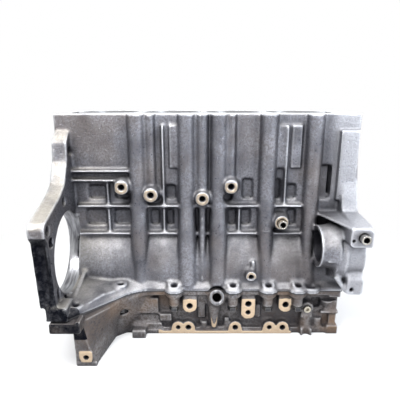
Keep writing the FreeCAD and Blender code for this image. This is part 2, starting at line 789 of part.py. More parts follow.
def machining():
    # Crank rooms, bores with the water jacket, and bolt holes.
    found, bores, rooms = [], [], []
    jacket_low = s.deck_height - s.jacket_depth
    outer, inner = [], []
    for number, x in enumerate(cylinders, start=1):
        bores.append(rod("liner_seat_%d" % number, (x, 0, liner_foot), "+Z", liner_radius, s.liner_length + 1))
        bores.append(
            rod("skirt_room_%d" % number, (x, 0, s.crank_room_radius * 0.8), "+Z", s.bore / 2 + s.skirt_clearance,
                liner_foot)
        )
        rooms.append(rod("crank_room_%d" % number, (x - bay / 2, 0, 0), "+X", s.crank_room_radius, bay))
        seat = liner_radius + s.jacket_seat
        outer.append(rod("jacket_outer_%d" % number, (x, 0, jacket_low), "+Z", seat + s.jacket_gap, s.jacket_depth + 1))
        inner.append(rod("jacket_inner_%d" % number, (x, 0, jacket_low), "+Z", seat, s.jacket_depth + 1))
    bores.append(cut("water_jacket", fuse("jacket_outside", outer), fuse("jacket_inside", inner)))
    for number, x in enumerate(bearings, start=1):
        for side, tag in ((NEAR, "near"), (FAR, "far")):
            found.append(
                rod("head_hole_%s_%d" % (tag, number), (x, side * s.head_bolt_offset, s.deck_height + 1), "-Z",
                    s.head_bolt_hole / 2, s.head_bolt_depth)
            )
            found.append(
                rod("main_hole_%s_%d" % (tag, number), (x, side * s.main_bolt_offset, -1), "+Z",
                    s.main_bolt / 2 + s.main_bolt_gap, s.main_bolt_length - s.bedplate_depth + s.main_bolt_recess + 6)
            )
    for number, x in enumerate((bearings[0], bearings[-1]), start=1):
        found.append(
            rod("ring_seat_block_%d" % number, (x, -s.main_bolt_offset, -1), "+Z", s.ring_radius, s.ring_length / 2 + 1)
        )
    for number, k in enumerate((-0.24, 0.25, 1.69), start=1):
        found.append(
            rod("drain_%d" % number, (s.bore_pitch * k, -s.column_offset, 22), "+Z", s.drain_hole / 2, s.deck_height)
        )
    for number, (x, y, z) in enumerate(jet_places(), start=1):
        found.append(rod("jet_hole_%d" % number, (x, y, z - s.jet_seat), "+Z", s.jet_radius + s.jet_gap, s.jet_seat * 2))
    bores.append(rod("main_bore_block", (-s.gearbox_face - 1, 0, 0), "+X", s.crank_bore / 2, block_length + 2))
    bores.append(rod("seal_room_block", (-s.gearbox_face - 1, 0, 0), "+X", s.seal_bore / 2, s.seal_depth + 1))
    sleeve_x, sleeve_y, sleeve_z = sleeve_place()
    found.append(
        rod("wall_dowel_hole", (sleeve_x, sleeve_y - 1, sleeve_z), "+Y", s.dowel_radius, s.dowel_length - s.dowel_proud + 1)
    )
    # Nothing of the block reaches below the parting plane.
    rooms.append(box("below_parting", (-260, -260, -60), (260, 260, 0)))
    return rooms, bores, found


def cylinder_block():
    boss_forms, boss_holes = bosses()
    flange_forms, flange_holes = gearbox_end()
    shelf_forms, shelf_holes = parting_flange()
    timing_forms, timing_holes = timing_end()
    far_forms, far_holes = far_side()
    walls = cut("pocketed_walls", fuse("plain_walls", barrel()), fuse("pocket_cuts", pockets()))
    base = fuse("block_walls", [walls] + flange_forms + shelf_forms)
    base = fuse("block_columns", [base] + columns() + far_forms)
    base = fuse("block_ribs", [base] + ribs())
    base = fuse("block_ends", [base] + timing_forms)
    base = fuse("block_bosses", [base] + boss_forms)
    rooms, bores, holes = machining()
    base = cut("block_rooms", base, fuse("room_cuts", rooms))
    base = cut("block_bores", base, fuse("bore_cuts", bores + timing_holes))
    holes += boss_holes + flange_holes + shelf_holes + far_holes
    return cut("cylinder_block", base, fuse("hole_cuts", holes))


# Bedplate
def bedplate_rim():
    # The bedplate's own flange, a step inside the block's, with the same swell at each bolt.
    found = [slab("bedplate_flange", "XY", parting_plan(s.parting_step), -s.bedplate_flange, s.bedplate_flange)]
    for number, (x, y) in enumerate(near_bolts + far_bolts, start=1):
        if number not in (1, len(near_bolts)):
            inner = y + 4 if y.number < 0 else y - 4
            found.append(
                rod("rim_%d" % number, (x, inner, -s.bedplate_flange), "+Z", s.lug_bulge - s.parting_step, s.bedplate_flange)
            )
    return found


def bedplate():
    depth = s.bedplate_depth
    left, right = s.gearbox_face, s.bedplate_timing_face
    half = s.bedplate_half_width
    forms = [
        fuse("bedplate_rim", bedplate_rim()),
        box("bedplate_walls", (-left + s.gearbox_plate - 2, -half, -depth), (right, half, 0)),
        box("sump_flange", (-s.corner_x + 40, -s.sump_half_width, -depth), (right, s.sump_half_width, -depth + s.sump_flange)),
    ]
    rear = [(-half - 22, 0), (-half - 22, -12), (-half + 2, -depth + 6), (-half + 8, -depth), (half - 8, -depth),
            (half - 2, -depth + 6), (half + 22, -12), (half + 22, 0)]
    forms.append(slab("rear_plate", "YZ", rear, -left, s.gearbox_plate))
    # Starter corner: the swept flange runs down into the foot.
    top = outline(
        "foot_top", "XY",
        [(-s.foot_left, -half + 8), (-s.foot_left, -s.corner_y + 5), (-s.corner_x + 12, -s.corner_y + 5),
         (-s.corner_x + 54, -s.corner_y + 56), (-s.corner_x + 98, -half + 2), (-s.corner_x + 98, -half + 8)],
        -s.bedplate_flange + 2,
    )
    bottom = outline(
        "foot_bottom", "XY",
        [(-s.foot_left, -half + 8), (-s.foot_left, -s.foot_reach), (-s.foot_right, -s.foot_reach),
         (-s.foot_right + 12, -s.sump_half_width - 9), (-s.foot_right + 24, -s.sump_half_width),
         (-s.foot_right + 24, -half + 8)],
        -depth,
    )
    forms.append(loft("foot", [top, bottom]))
    forms.append(box("bar", (-s.bar_left, -s.bar_reach, -s.bar_bottom), (-s.bar_right, -s.bar_reach + 13, -s.bar_top)))
    forms.append(box("bar_post", (-s.bar_right - 5, -s.bar_reach, -s.bar_bottom), (-s.bar_right, -s.corner_y + 12, 0)))
    cuts, bays = [], []
    corner_cuts = [
        # The bell space behind the bar and the open pocket inside the foot
        box("bell_space", (-left - 1, -s.bar_reach - 1, -depth - 1), (-s.foot_left, -half - 23, 1)),
        box("foot_pocket", (-s.foot_left + 8, -s.foot_reach + 10, -depth - 1), (-s.foot_right - 6, -half - 8, -16)),
    ]
    for number, x in enumerate(cylinders, start=1):
        wide = s.crank_room_radius - 3
        bays.append(box("bay_%d" % number, (x - bay / 2, -wide, -depth - 1), (x + bay / 2, wide, 1)))
    for number, x in enumerate(bearings, start=1):
        for side, tag in ((NEAR, "near"), (FAR, "far")):
            y = side * s.main_bolt_offset
            cuts.append(
                rod("bed_hole_%s_%d" % (tag, number), (x, y, -depth - 1), "+Z", s.main_bolt / 2 + s.main_bolt_gap,
                    depth + 2)
            )
            cuts.append(
                rod("bolt_recess_%s_%d" % (tag, number), (x, y, -depth - 1), "+Z", s.main_bolt_flange / 2 + 1,
                    s.main_bolt_recess + 1)
            )
    for number, x in enumerate((bearings[0], bearings[-1]), start=1):
        cuts.append(
            rod("ring_seat_bedplate_%d" % number, (x, -s.main_bolt_offset, -s.ring_length / 2), "+Z", s.ring_radius,
                s.ring_length / 2 + 1)
        )
    cuts.append(rod("main_bore_bedplate", (-left - 1, 0, 0), "+X", s.crank_bore / 2, left + right + 2))
    cuts.append(rod("seal_room_bedplate", (-left - 1, 0, 0), "+X", s.seal_bore / 2, s.seal_depth + 1))
    cuts.append(rod("pump_room_bedplate", (s.timing_face - s.pump_depth, 0, 0), "+X", s.pump_bore / 2, s.pump_depth))
    details, holes = bedplate_side()
    body = fuse("bedplate_form", forms)
    open_corner = cut("bedplate_corner", body, fuse("corner_cuts", corner_cuts))
    ladder = cut("bedplate_ladder", open_corner, fuse("bay_cuts", bays))
    hollow = cut("bedplate_hollow", ladder, fuse("bedplate_cuts", cuts))
    dressed = fuse("bedplate_side", [hollow, bar_again()] + details)
    return cut("bedplate", dressed, fuse("bedplate_holes", holes))


def bar_again():
    # The free arm of the bar, which stands in front of the bell space.
    return box("bar_arm", (-s.bar_left, -s.bar_reach, -s.bar_bottom), (-s.foot_left + 2, -s.bar_reach + 13, -s.bar_top))


def bedplate_side():
    # Bolt lugs, machined pads, dipstick boss and the blocks of the core on the starter side.
    found, holes = [], []
    depth = s.bedplate_depth
    half = s.bedplate_half_width
    face = s.pad_face
    for number, (x, y) in enumerate(near_bolts + far_bolts, start=1):
        if number == len(near_bolts):
            found.append(rod("bed_lug_%d" % number, (x, y, -s.lug_drop), "+Z", s.lug_radius, s.lug_drop))
        else:
            found.append(rod("bed_lug_%d" % number, (x, y, -s.lug_drop), "+Z", s.lug_radius - 2, s.lug_drop))
            found.append(
                box("bed_lug_web_%d" % number, (x - s.lug_radius + 2, min_y(y), -s.lug_drop),
                    (x + s.lug_radius - 2, max_y(y), 0))
            )
        holes.append(
            rod("bed_lug_hole_%d" % number, (x, y, -s.lug_drop - 1), "+Z", s.flange_bolt / 2 + s.flange_bolt_gap,
                s.lug_drop + 2)
        )
        # Spot face that clears the bolt's head, up from the sump face at the corner bolt
        clear = s.bedplate_depth + 1 - s.lug_drop if number == len(near_bolts) else s.spot_face
        holes.append(rod("spot_face_%d" % number, (x, y, -s.lug_drop), "-Z", s.flange_bolt + 1, clear))
    # Upper pads: middle, half width, top and bottom below the parting plane
    pads = [(-17, 10, 15, 24), (62.5, 10, 14, 34), (113, 10, 14, 23)]
    for number, (middle, wide, top, low) in enumerate(pads, start=1):
        x = s.bore_pitch * (middle / 84)
        found.append(box("pad_%d" % number, (x - wide, -face, -low), (x + wide, -half + 3, -top)))
        found.append(rod("pad_round_%d" % number, (x, -half + 3, -low), "-Y", wide, face - half + 3))
        neck = slab(
            "pad_neck_%d" % number, "YZ",
            [(-half + 3, -top - 1), (-half + 3, -3), (-face + 3, -3), (-face + 1, -top - 1)],
            x - wide, lift(wide) * 2,
        )
        found.append(neck)
    spots = [(-17, 24, 1), (62.5, 21, 1), (62.5, 34, 0.8), (113, 22, 1)]
    # Lower strip with its lobes, flush with the sump face
    strip = [(-33, 1), (-19, 1.2), (45.5, 1.2), (92.5, 1), (110.5, 1.2)]
    found.append(
        box("strip", (s.bore_pitch * -0.66, -face, -depth), (s.bore_pitch * 1.46, -half + 3, -depth + s.sump_flange - 5))
    )
    for number, (middle, share) in enumerate(strip, start=1):
        x = s.bore_pitch * (middle / 84)
        lift_z = depth - 10
        found.append(rod("lobe_%d" % number, (x, -half + 3, -lift_z), "-Y", 9, face - half + 3))
        found.append(box("lobe_web_%d" % number, (x - 9, -face, -depth), (x + 9, -half + 3, -lift_z)))
        spots.append((middle, 57, share * 0.75))
    for number, (middle, drop, share) in enumerate(spots, start=1):
        x = s.bore_pitch * (middle / 84)
        holes.append(
            rod("pad_hole_%d" % number, (x, -face - 1, -drop), "+Y", s.pad_hole / 2 * share, s.pad_hole_depth)
        )
    # Dipstick tube boss: a short ring that leans out, on a tapering root
    x, y, z = dip_place()
    found.append(rod("dip_boss", (x, y, z), LEAN, s.dip_radius, 12))
    found.append(rod("dip_ring", (x, y, z), LEAN, s.dip_ring, 18))
    found.append(cone("dip_root", (x - 3, y - 2, -depth + 10), "+Z", 5, 10.5, depth - 22))
    holes.append(rod("dip_bore", (x, y - 0.9 * 19, z + 0.436 * 19), V(0, 0.9, -0.436), s.dip_bore / 2, 26))
    # Upright column and knob beside the dipstick root
    found.append(box("middle_post", (s.bore_pitch * -0.07, -half - 4, -45), (s.bore_pitch * 0.05, -half + 3, -4)))
    found.append(rod("middle_knob", (s.bore_pitch * 0.03, -half - 2, -depth + 3), "+Z", 5.5, 15))
    # Core blocks and the hanging lug by the foot
    blocks = [
        (-1.13, -0.71, 6, -38, -14), (-1.15, -0.7, 3, -51, -38), (-0.69, -0.5, 8, -47, -37), (-1.15, -0.66, 7, -62, -51),
        (-1.13, -0.91, 20, -depth, -depth + 12), (-0.91, -0.66, 9, -depth, -depth + 6), (-1.27, -1.17, 6, -48, -38),
        (0.36, 0.44, 6, -depth, -44), (0.86, 0.95, 5, -44, -24), (0.15, 0.4, 5, -depth, -depth + 10),
    ]
    for number, (start, end, proud, low, high) in enumerate(blocks, start=1):
        found.append(
            box("core_block_%d" % number, (s.bore_pitch * start, -half - proud, low), (s.bore_pitch * end, -half + 3, high))
        )
    # Timing end: domed plug in its cone, the grooved saddle below it and the end post
    plug_x, plug_z = plug_place()
    found.append(cone("plug_housing", (plug_x, -half + 2, plug_z), "-Y", 12, 8.5, s.pad_face - half + 2))
    found.append(box("plug_shelf", (plug_x - 8, -half - 10, plug_z - 13), (plug_x + 8, -half + 3, plug_z - 8)))
    found.append(rod("plug_apron", (plug_x, -half - 1, plug_z - 26), "+Z", 9, 20))
    holes.append(rod("plug_hole", (plug_x, -s.pad_face - 1, plug_z), "+Y", 4.6, 11))
    found.append(box("saddle", (plug_x - 8, -half - 14, -depth), (plug_x + 8, -half + 3, -depth + 11)))
    holes.append(rod("saddle_groove", (plug_x, -half - 15, -depth - 1), "+Z", 5.2, 14))
    found.append(rod("end_tube", (s.bore_pitch * 1.89, -half - 1, -depth + 5), "+Z", 6.5, 18))
    found.append(box("end_lug", (right_end() - 15, -half - 9, -depth), (right_end(), -half + 3, -depth + 13)))
    found.append(box("end_ledge", (right_end() - 24, -half - 7, -depth + 30), (right_end(), -half + 3, -depth + 34)))
    found.append(box("end_post", (right_end() - 12, -half - 5, -depth + 10), (right_end() - 2, -half + 3, -18)))
    found.append(cone("end_cone", (right_end() - 15, -half + 1, -31), "+Z", 5, 10, 13))
    found.append(box("end_shoulder", (right_end() - 15, -half - 10, -11), (right_end(), -half + 3, -4)))
    holes.append(box("end_cavity", (s.bore_pitch * 1.78, -half - 1, -31), (s.bore_pitch * 1.93, -half + 6, -16)))
    # Machined pad on the foot
    foot_x = -(s.foot_left + s.foot_right) / 2 + 1
    found.append(box("foot_toe", (-s.foot_left + 1, -s.foot_reach - 2, -depth), (-s.foot_right + 1, -s.foot_reach + 5, -depth + 6)))
    found.append(box("foot_pad", (foot_x - 8, -s.foot_reach - 2.5, -54), (foot_x + 8, -s.foot_reach + 5, -46)))
    found.append(rod("foot_pad_round", (foot_x, -s.foot_reach + 5, -54), "-Y", 8, 7.5))
    holes.append(rod("foot_hole", (foot_x, -s.foot_reach - 3.5, -54), "+Y", 3, 16))
    return found, holes


def dip_place():
    # Root of the dipstick boss, which leans out past the edge of the parting flange.
    return s.bore_pitch * 0.23, -s.bedplate_half_width - 2, -14


def min_y(y):
    # Nearer edge of a lug's web on its own side.
    return y if y.number < 0 else s.bedplate_half_width - 3


def max_y(y):
    return -s.bedplate_half_width + 3 if y.number < 0 else y


def right_end():
    return s.bedplate_timing_face


def plug_place():
    return s.bore_pitch * 1.694, -28


# Small pieces
def liners():
    return [
        ring("cylinder_liner_%d" % number, (x, 0, liner_foot), "+Z", liner_radius, s.bore / 2, s.liner_length)
        for number, x in enumerate(cylinders, start=1)
    ]


def main_bolts():
    made = []
    seat = -s.bedplate_depth + s.main_bolt_recess
    for number, x in enumerate(bearings, start=1):
        for side, tag in ((NEAR, "near"), (FAR, "far")):
            name = "main_bolt_%s_%d" % (tag, number)
            y = side * s.main_bolt_offset
            shank = rod(name + "_shank", (x, y, seat), "+Z", s.main_bolt / 2, s.main_bolt_length)
            washer = rod(name + "_flange", (x, y, seat - 2.5), "+Z", s.main_bolt_flange / 2, 2.5)
            head = doc.addObject("Part::Prism", name + "_head")
            head.Polygon = 6
            bind(head, Circumradius=s.main_bolt_flange / 2 - 1, Height=s.main_bolt_head)
            place(head, (x, y, seat - s.main_bolt_head - 1))
            made.append(fuse(name, [shank, washer, head]))
    return pieces("main_bearing_bolts", made)


def flange_bolts():
    made = []
    for number, (x, y) in enumerate(near_bolts + far_bolts, start=1):
        name = "flange_bolt_%d" % number
        shank = rod(name + "_shank", (x, y, -s.lug_drop), "+Z", s.flange_bolt / 2, s.lug_drop + s.parting_rim + 1)
        head = doc.addObject("Part::Prism", name + "_head")
        head.Polygon = 6
        bind(head, Circumradius=s.flange_bolt, Height=s.flange_bolt * 0.8)
        place(head, (x, y, -s.lug_drop - s.flange_bolt * 0.8))
        made.append(fuse(name, [shank, head]))
    return pieces("bedplate_bolts", made)


def dowels():
    x, y, z = sleeve_place()
    wall = ring("wall_dowel", (x, y - s.dowel_proud, z), "+Y", s.dowel_radius, s.dowel_bore / 2, s.dowel_length)
    ear = ring(
        "ear_dowel", (s.timing_face - 12, -s.ear_reach - s.dowel_proud, s.ear_top - 10), "+Y", s.dowel_radius,
        s.dowel_bore / 2, s.dowel_length,
    )
    return [wall, ear]


def ring_dowels():
    # Hollow dowels round two of the main bolts, half in the block and half in the bedplate.
    return pieces(
        "ring_dowels",
        [
            ring("ring_dowel_%d" % number, (x, -s.main_bolt_offset, -s.ring_length / 2), "+Z", s.ring_radius,
                 s.main_bolt / 2 + s.main_bolt_gap, s.ring_length)
            for number, x in enumerate((bearings[0], bearings[-1]), start=1)
        ],
    )


def gallery_plugs():
    made = []
    for name, x in (("gallery_plug_gearbox", -s.gearbox_face + 2), ("gallery_plug_timing", s.timing_face - 2 - s.plug_depth)):
        body = rod(name + "_body", (x, s.gallery_y, s.gallery_z), "+X", s.gallery_bore / 2, s.plug_depth)
        made.append(body)
    return pieces("gallery_plugs", made)


def bedplate_plug():
    x, z = plug_place()
    body = rod("plug_body", (x, -s.pad_face + 7.5, z), "-Y", 4.6, 10.5)
    socket = rod("plug_socket", (x, -s.pad_face - 4, z), "+Y", 2.5, 4)
    return cut("bedplate_plug", body, socket)


def cooling_jets():
    # One piston cooling jet per cylinder: a stem seated in the crank room roof, with a bent nozzle.
    made = []
    for number, (x, y, z) in enumerate(jet_places(), start=1):
        name = "cooling_jet_%d" % number
        stem = rod(name + "_stem", (x, y, z - 6), "+Z", s.jet_radius, 6 + s.jet_seat - s.jet_gap)
        nozzle = rod(name + "_nozzle", (x, y, z - 4.5), V(0.55, -0.8, -0.25), s.jet_radius * 0.5, 14)
        made.append(fuse(name, [stem, nozzle]))
    return pieces("piston_cooling_jets", made)


def sealant(bed):
    # Bead squeezed out under the edge of the block's flange, round the edge of the bedplate's.
    doc.recompute()
    plan = doc.getObject("bedplate_rim").Shape
    lugs = [doc.getObject("bed_lug_%d" % n).Shape for n in range(1, len(near_bolts + far_bolts) + 1)]
    whole = plan.fuse(lugs).removeSplitter()
    level = -s.sealant_height.number / 2
    wires = whole.slice(V(0, 0, 1), level)
    outer = max(wires, key=lambda wire: wire.BoundBox.DiagonalLength)
    face = Part.Face(outer)
    grown = face.makeOffset2D(s.sealant_width.number)
    band = grown.cut(face)
    band.translate(V(0, 0, -s.sealant_height.number - level))
    bead = band.extrude(V(0, 0, s.sealant_height.number))
    # The bead stops at the seal room and the pump room.
    room = rod("sealant_room", (-s.gearbox_face - 5, 0, 0), "+X", s.pump_bore / 2 + 1, block_length + 10)
    room.recompute()
    item = doc.addObject("Part::Feature", "parting_sealant")
    item.Shape = bead.cut(bed.Shape).cut(room.Shape)
    return item


nodes = [cylinder_block(), bedplate()]
nodes += liners()
nodes += [main_bolts(), flange_bolts()]
nodes += dowels()
nodes += [ring_dowels(), gallery_plugs(), bedplate_plug(), cooling_jets(), sealant(nodes[1])]
doc.recompute()

for item in doc.Objects:
    if "Invalid" in item.State or "Error" in item.State:
        raise RuntimeError("%s failed: %s" % (item.Label, item.State))
os.makedirs("parts", exist_ok=True)
for node in nodes:
    node.Label = node.Name
    if node.Shape.isNull() or not node.Shape.isValid():
        raise RuntimeError("%s has no valid shape" % node.Label)
for node in nodes:
    node.Shape.exportStep("parts/%s.step" % node.Label)
    print(node.Label, len(node.Shape.Solids), "solids", round(node.Shape.Volume / 1000, 1), "cm3")
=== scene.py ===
import math
import bpy
import mathutils
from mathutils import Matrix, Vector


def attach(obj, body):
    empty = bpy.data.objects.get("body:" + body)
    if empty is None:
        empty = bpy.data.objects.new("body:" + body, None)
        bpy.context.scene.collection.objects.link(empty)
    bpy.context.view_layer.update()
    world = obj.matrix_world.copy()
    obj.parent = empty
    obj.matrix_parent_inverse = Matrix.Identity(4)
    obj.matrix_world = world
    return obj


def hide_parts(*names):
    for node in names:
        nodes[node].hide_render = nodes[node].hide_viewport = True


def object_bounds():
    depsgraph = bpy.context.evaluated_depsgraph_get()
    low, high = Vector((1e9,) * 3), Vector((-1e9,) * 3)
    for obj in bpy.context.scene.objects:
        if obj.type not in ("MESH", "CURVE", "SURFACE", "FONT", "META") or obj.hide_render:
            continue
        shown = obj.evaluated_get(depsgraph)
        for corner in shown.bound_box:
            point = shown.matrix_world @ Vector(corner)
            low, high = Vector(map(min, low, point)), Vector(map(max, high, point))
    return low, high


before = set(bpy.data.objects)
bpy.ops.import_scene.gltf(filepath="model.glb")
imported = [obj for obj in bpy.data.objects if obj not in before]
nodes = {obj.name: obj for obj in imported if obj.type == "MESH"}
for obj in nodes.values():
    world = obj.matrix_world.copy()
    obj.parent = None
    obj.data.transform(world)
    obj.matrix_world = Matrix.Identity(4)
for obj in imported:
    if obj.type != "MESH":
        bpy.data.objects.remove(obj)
cadLow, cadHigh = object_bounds()
print("frame loaded:", len(nodes), "nodes")

floatSocket, vectorSocket = "NodeSocketFloat", "NodeSocketVector"
lowest, highest = (-1.0, -1.0, -1.0), (1.0, 1.0, 1.0)  # a box around everything


def deselectAll():
    for thing in bpy.context.selected_objects:
        thing.select_set(False)
    bpy.context.view_layer.objects.active = None


def newTree(name):
    material = bpy.data.materials.new(name)
    material.use_nodes = True
    tree = material.node_tree
    tree.nodes.clear()
    return material, tree


def put(tree, kind, **values):  # adds a node and sets its properties
    node = tree.nodes.new(kind)
    for key, value in values.items():
        setattr(node, key, value)
    return node


def fill(tree, socket, value):  # links another node's output, or sets a fixed value
    if isinstance(value, bpy.types.NodeSocket):
        tree.links.new(value, socket)
    else:
        socket.default_value = value


def mathNode(tree, operation, *values, clamp=False):
    node = put(tree, "ShaderNodeMath", operation=operation, use_clamp=clamp)
    for socket, value in zip(node.inputs, values):
        fill(tree, socket, value)
    return node.outputs[0]


def vectorNode(tree, operation, *values):
    node = put(tree, "ShaderNodeVectorMath", operation=operation)
    for socket, value in zip(node.inputs, values):
        fill(tree, socket, value)
    return node.outputs["Value" if operation in ("DOT_PRODUCT", "LENGTH") else "Vector"]


def scaled(tree, value, share):
    return mathNode(tree, "MULTIPLY", value, share)


def strongest(tree, first, *others):
    for other in others:
        first = mathNode(tree, "MAXIMUM", first, other)
    return first


def mixColor(tree, factor, first, second):
    node = put(tree, "ShaderNodeMix", data_type="RGBA", clamp_factor=True)
    fill(tree, node.inputs[0], factor)
    for socket, value in ((node.inputs[6], first), (node.inputs[7], second)):
        fill(tree, socket, (*value, 1) if isinstance(value, tuple) else value)
    return node.outputs[2]


def remap(tree, value, low, high, outLow=0.0, outHigh=1.0, smooth=False):
    node = put(tree, "ShaderNodeMapRange", clamp=True, interpolation_type="SMOOTHSTEP" if smooth else "LINEAR")
    tree.links.new(value, node.inputs["Value"])
    for name, number in (("From Min", low), ("From Max", high), ("To Min", outLow), ("To Max", outHigh)):
        node.inputs[name].default_value = number
    return node.outputs[0]


def noise(tree, vector, scale, detail=3.0, roughness=0.55, distortion=0.0):
    node = put(tree, "ShaderNodeTexNoise")
    tree.links.new(vector, node.inputs["Vector"])
    fill(tree, node.inputs["Scale"], scale)
    node.inputs["Detail"].default_value = detail
    node.inputs["Roughness"].default_value = roughness
    node.inputs["Distortion"].default_value = distortion
    return node.outputs["Fac"]


def separate(tree, vector):
    node = put(tree, "ShaderNodeSeparateXYZ")
    tree.links.new(vector, node.inputs[0])
    return node.outputs


def objectPlace(tree):
    return put(tree, "ShaderNodeTexCoord").outputs["Object"]


def newGroup(name, inputs, outputs):
    tree = bpy.data.node_groups.new(name, "ShaderNodeTree")
    for label, kind, value in inputs:
        socket = tree.interface.new_socket(name=label, in_out="INPUT", socket_type=kind)
        socket.default_value = value
    for label, kind in outputs:
        tree.interface.new_socket(name=label, in_out="OUTPUT", socket_type=kind)
    return tree, put(tree, "NodeGroupInput").outputs, put(tree, "NodeGroupOutput").inputs


def useGroup(tree, group, **values):
    node = put(tree, "ShaderNodeGroup", node_tree=group)
    for name, value in values.items():
        fill(tree, node.inputs[name], value)
    return node.outputs


def castGrainGroup():  # sand-cast skin: fine grain, pits and soft waves
    tree, given, out = newGroup(
        "castGrain",
        [("Fine", floatSocket, 900.0), ("Coarse", floatSocket, 120.0)],
        [("Height", floatSocket), ("Mottle", floatSocket)],
    )
    share = {"fine": 0.6, "coarse": 0.8, "pits": 0.25}
    pitReach = (0.05, 0.35)
    coords = objectPlace(tree)
    fine = noise(tree, coords, given["Fine"], detail=2.0, roughness=0.5)
    coarse = noise(tree, coords, given["Coarse"], detail=4.0, roughness=0.5)
    pits = put(tree, "ShaderNodeTexVoronoi", feature="F1")
    tree.links.new(coords, pits.inputs["Vector"])
    tree.links.new(given["Fine"], pits.inputs["Scale"])
    pitMask = remap(tree, pits.outputs["Distance"], *pitReach)
    height = mathNode(tree, "ADD", scaled(tree, fine, share["fine"]), scaled(tree, coarse, share["coarse"]))
    height = mathNode(tree, "ADD", height, scaled(tree, pitMask, share["pits"]))
    tree.links.new(height, out["Height"])
    tree.links.new(coarse, out["Mottle"])
    return tree


def softEdgeGroup():  # rounded edges in shading, and a mask of where they are, which lightens edges as wear and painted highlight
    tree, given, out = newGroup(
        "softEdge", [("Radius", floatSocket, 0.0015)], [("Normal", vectorSocket), ("WearAndHighlight", floatSocket)]
    )
    wearFrom, wearTo = 0.02, 0.2
    rounded = put(tree, "ShaderNodeBevel", samples=4)
    tree.links.new(given["Radius"], rounded.inputs["Radius"])
    flat = put(tree, "ShaderNodeNewGeometry").outputs["Normal"]
    same = vectorNode(tree, "DOT_PRODUCT", rounded.outputs[0], flat)
    away = mathNode(tree, "SUBTRACT", 1.0, same)
    tree.links.new(rounded.outputs[0], out["Normal"])
    tree.links.new(remap(tree, away, wearFrom, wearTo), out["WearAndHighlight"])
    return tree


def cavityShadeGroup():  # darkening by ambient occlusion, for grime and painted shade: corners, under ledges, deep rooms
    tree, given, out = newGroup(
        "cavityShade", [("Distance", floatSocket, 0.02), ("Strength", floatSocket, 1.0)], [("Mask", floatSocket)]
    )
    shade = put(tree, "ShaderNodeAmbientOcclusion", samples=6)
    tree.links.new(given["Distance"], shade.inputs["Distance"])
    hidden = mathNode(tree, "SUBTRACT", 1.0, shade.outputs["AO"])
    tree.links.new(mathNode(tree, "MULTIPLY", hidden, given["Strength"], clamp=True), out["Mask"])
    return tree


def machinedGroup():  # mask of the faces near one level along one direction, inside one box
    tree, given, out = newGroup(
        "machinedFace",
        [("Direction", vectorSocket, (0.0, 0.0, 1.0)), ("Level", floatSocket, 0.0),
         ("Reach", floatSocket, 0.0006), ("Facing", floatSocket, 0.9), ("Low", vectorSocket, lowest),
         ("High", vectorSocket, highest)],
        [("Mask", floatSocket)],
    )
    coords = put(tree, "ShaderNodeTexCoord").outputs
    place = vectorNode(tree, "DOT_PRODUCT", coords["Object"], given["Direction"])
    facing = vectorNode(tree, "DOT_PRODUCT", coords["Normal"], given["Direction"])
    near = mathNode(tree, "COMPARE", place, given["Level"], given["Reach"])
    mask = mathNode(tree, "MULTIPLY", near, mathNode(tree, "GREATER_THAN", facing, given["Facing"]))
    for larger, smaller in ((coords["Object"], given["Low"]), (given["High"], coords["Object"])):
        gaps = separate(tree, vectorNode(tree, "SUBTRACT", larger, smaller))
        for axis in "XYZ":
            mask = mathNode(tree, "MULTIPLY", mask, mathNode(tree, "GREATER_THAN", gaps[axis], 0.0))
    tree.links.new(mask, out["Mask"])
    return tree


def boredGroup():  # mask of the wall of a bore along X
    tree, given, out = newGroup(
        "boredWall",
        [("Axis", vectorSocket, (0.0, 0.0, 0.0)), ("Radius", floatSocket, 0.01), ("Low", floatSocket, -1.0),
         ("High", floatSocket, 1.0)],
        [("Mask", floatSocket)],
    )
    acrossX, wallReach = (0.0, 1.0, 1.0), 0.0009
    coords = objectPlace(tree)
    gap = vectorNode(tree, "SUBTRACT", coords, given["Axis"])
    away = vectorNode(tree, "LENGTH", vectorNode(tree, "MULTIPLY", gap, acrossX))
    near = mathNode(tree, "COMPARE", away, given["Radius"], wallReach)
    along = separate(tree, coords)["X"]
    over = mathNode(tree, "GREATER_THAN", along, given["Low"])
    under = mathNode(tree, "LESS_THAN", along, given["High"])
    tree.links.new(mathNode(tree, "MULTIPLY", near, mathNode(tree, "MULTIPLY", over, under)), out["Mask"])
    return tree


def cutterGroup():  # arcs that a face mill leaves, around a center outside the part
    tree, given, out = newGroup(
        "cutterMarks", [("Spacing", floatSocket, 300.0), ("Center", vectorSocket, (0.9, 0.7, 0.8))],
        [("Marks", floatSocket)],
    )
    waveShare = 0.12
    coords = objectPlace(tree)
    away = vectorNode(tree, "LENGTH", vectorNode(tree, "ADD", coords, given["Center"]))
    wave = mathNode(tree, "SINE", mathNode(tree, "MULTIPLY", away, given["Spacing"]))
    broad = noise(tree, coords, scale=25.0)
    tree.links.new(mathNode(tree, "ADD", scaled(tree, wave, waveShare), broad), out["Marks"])
    return tree


castGrain = castGrainGroup()
softEdge = softEdgeGroup()
cavityShade = cavityShadeGroup()
machinedFace = machinedGroup()
boredWall = boredGroup()
cutterMarks = cutterGroup()

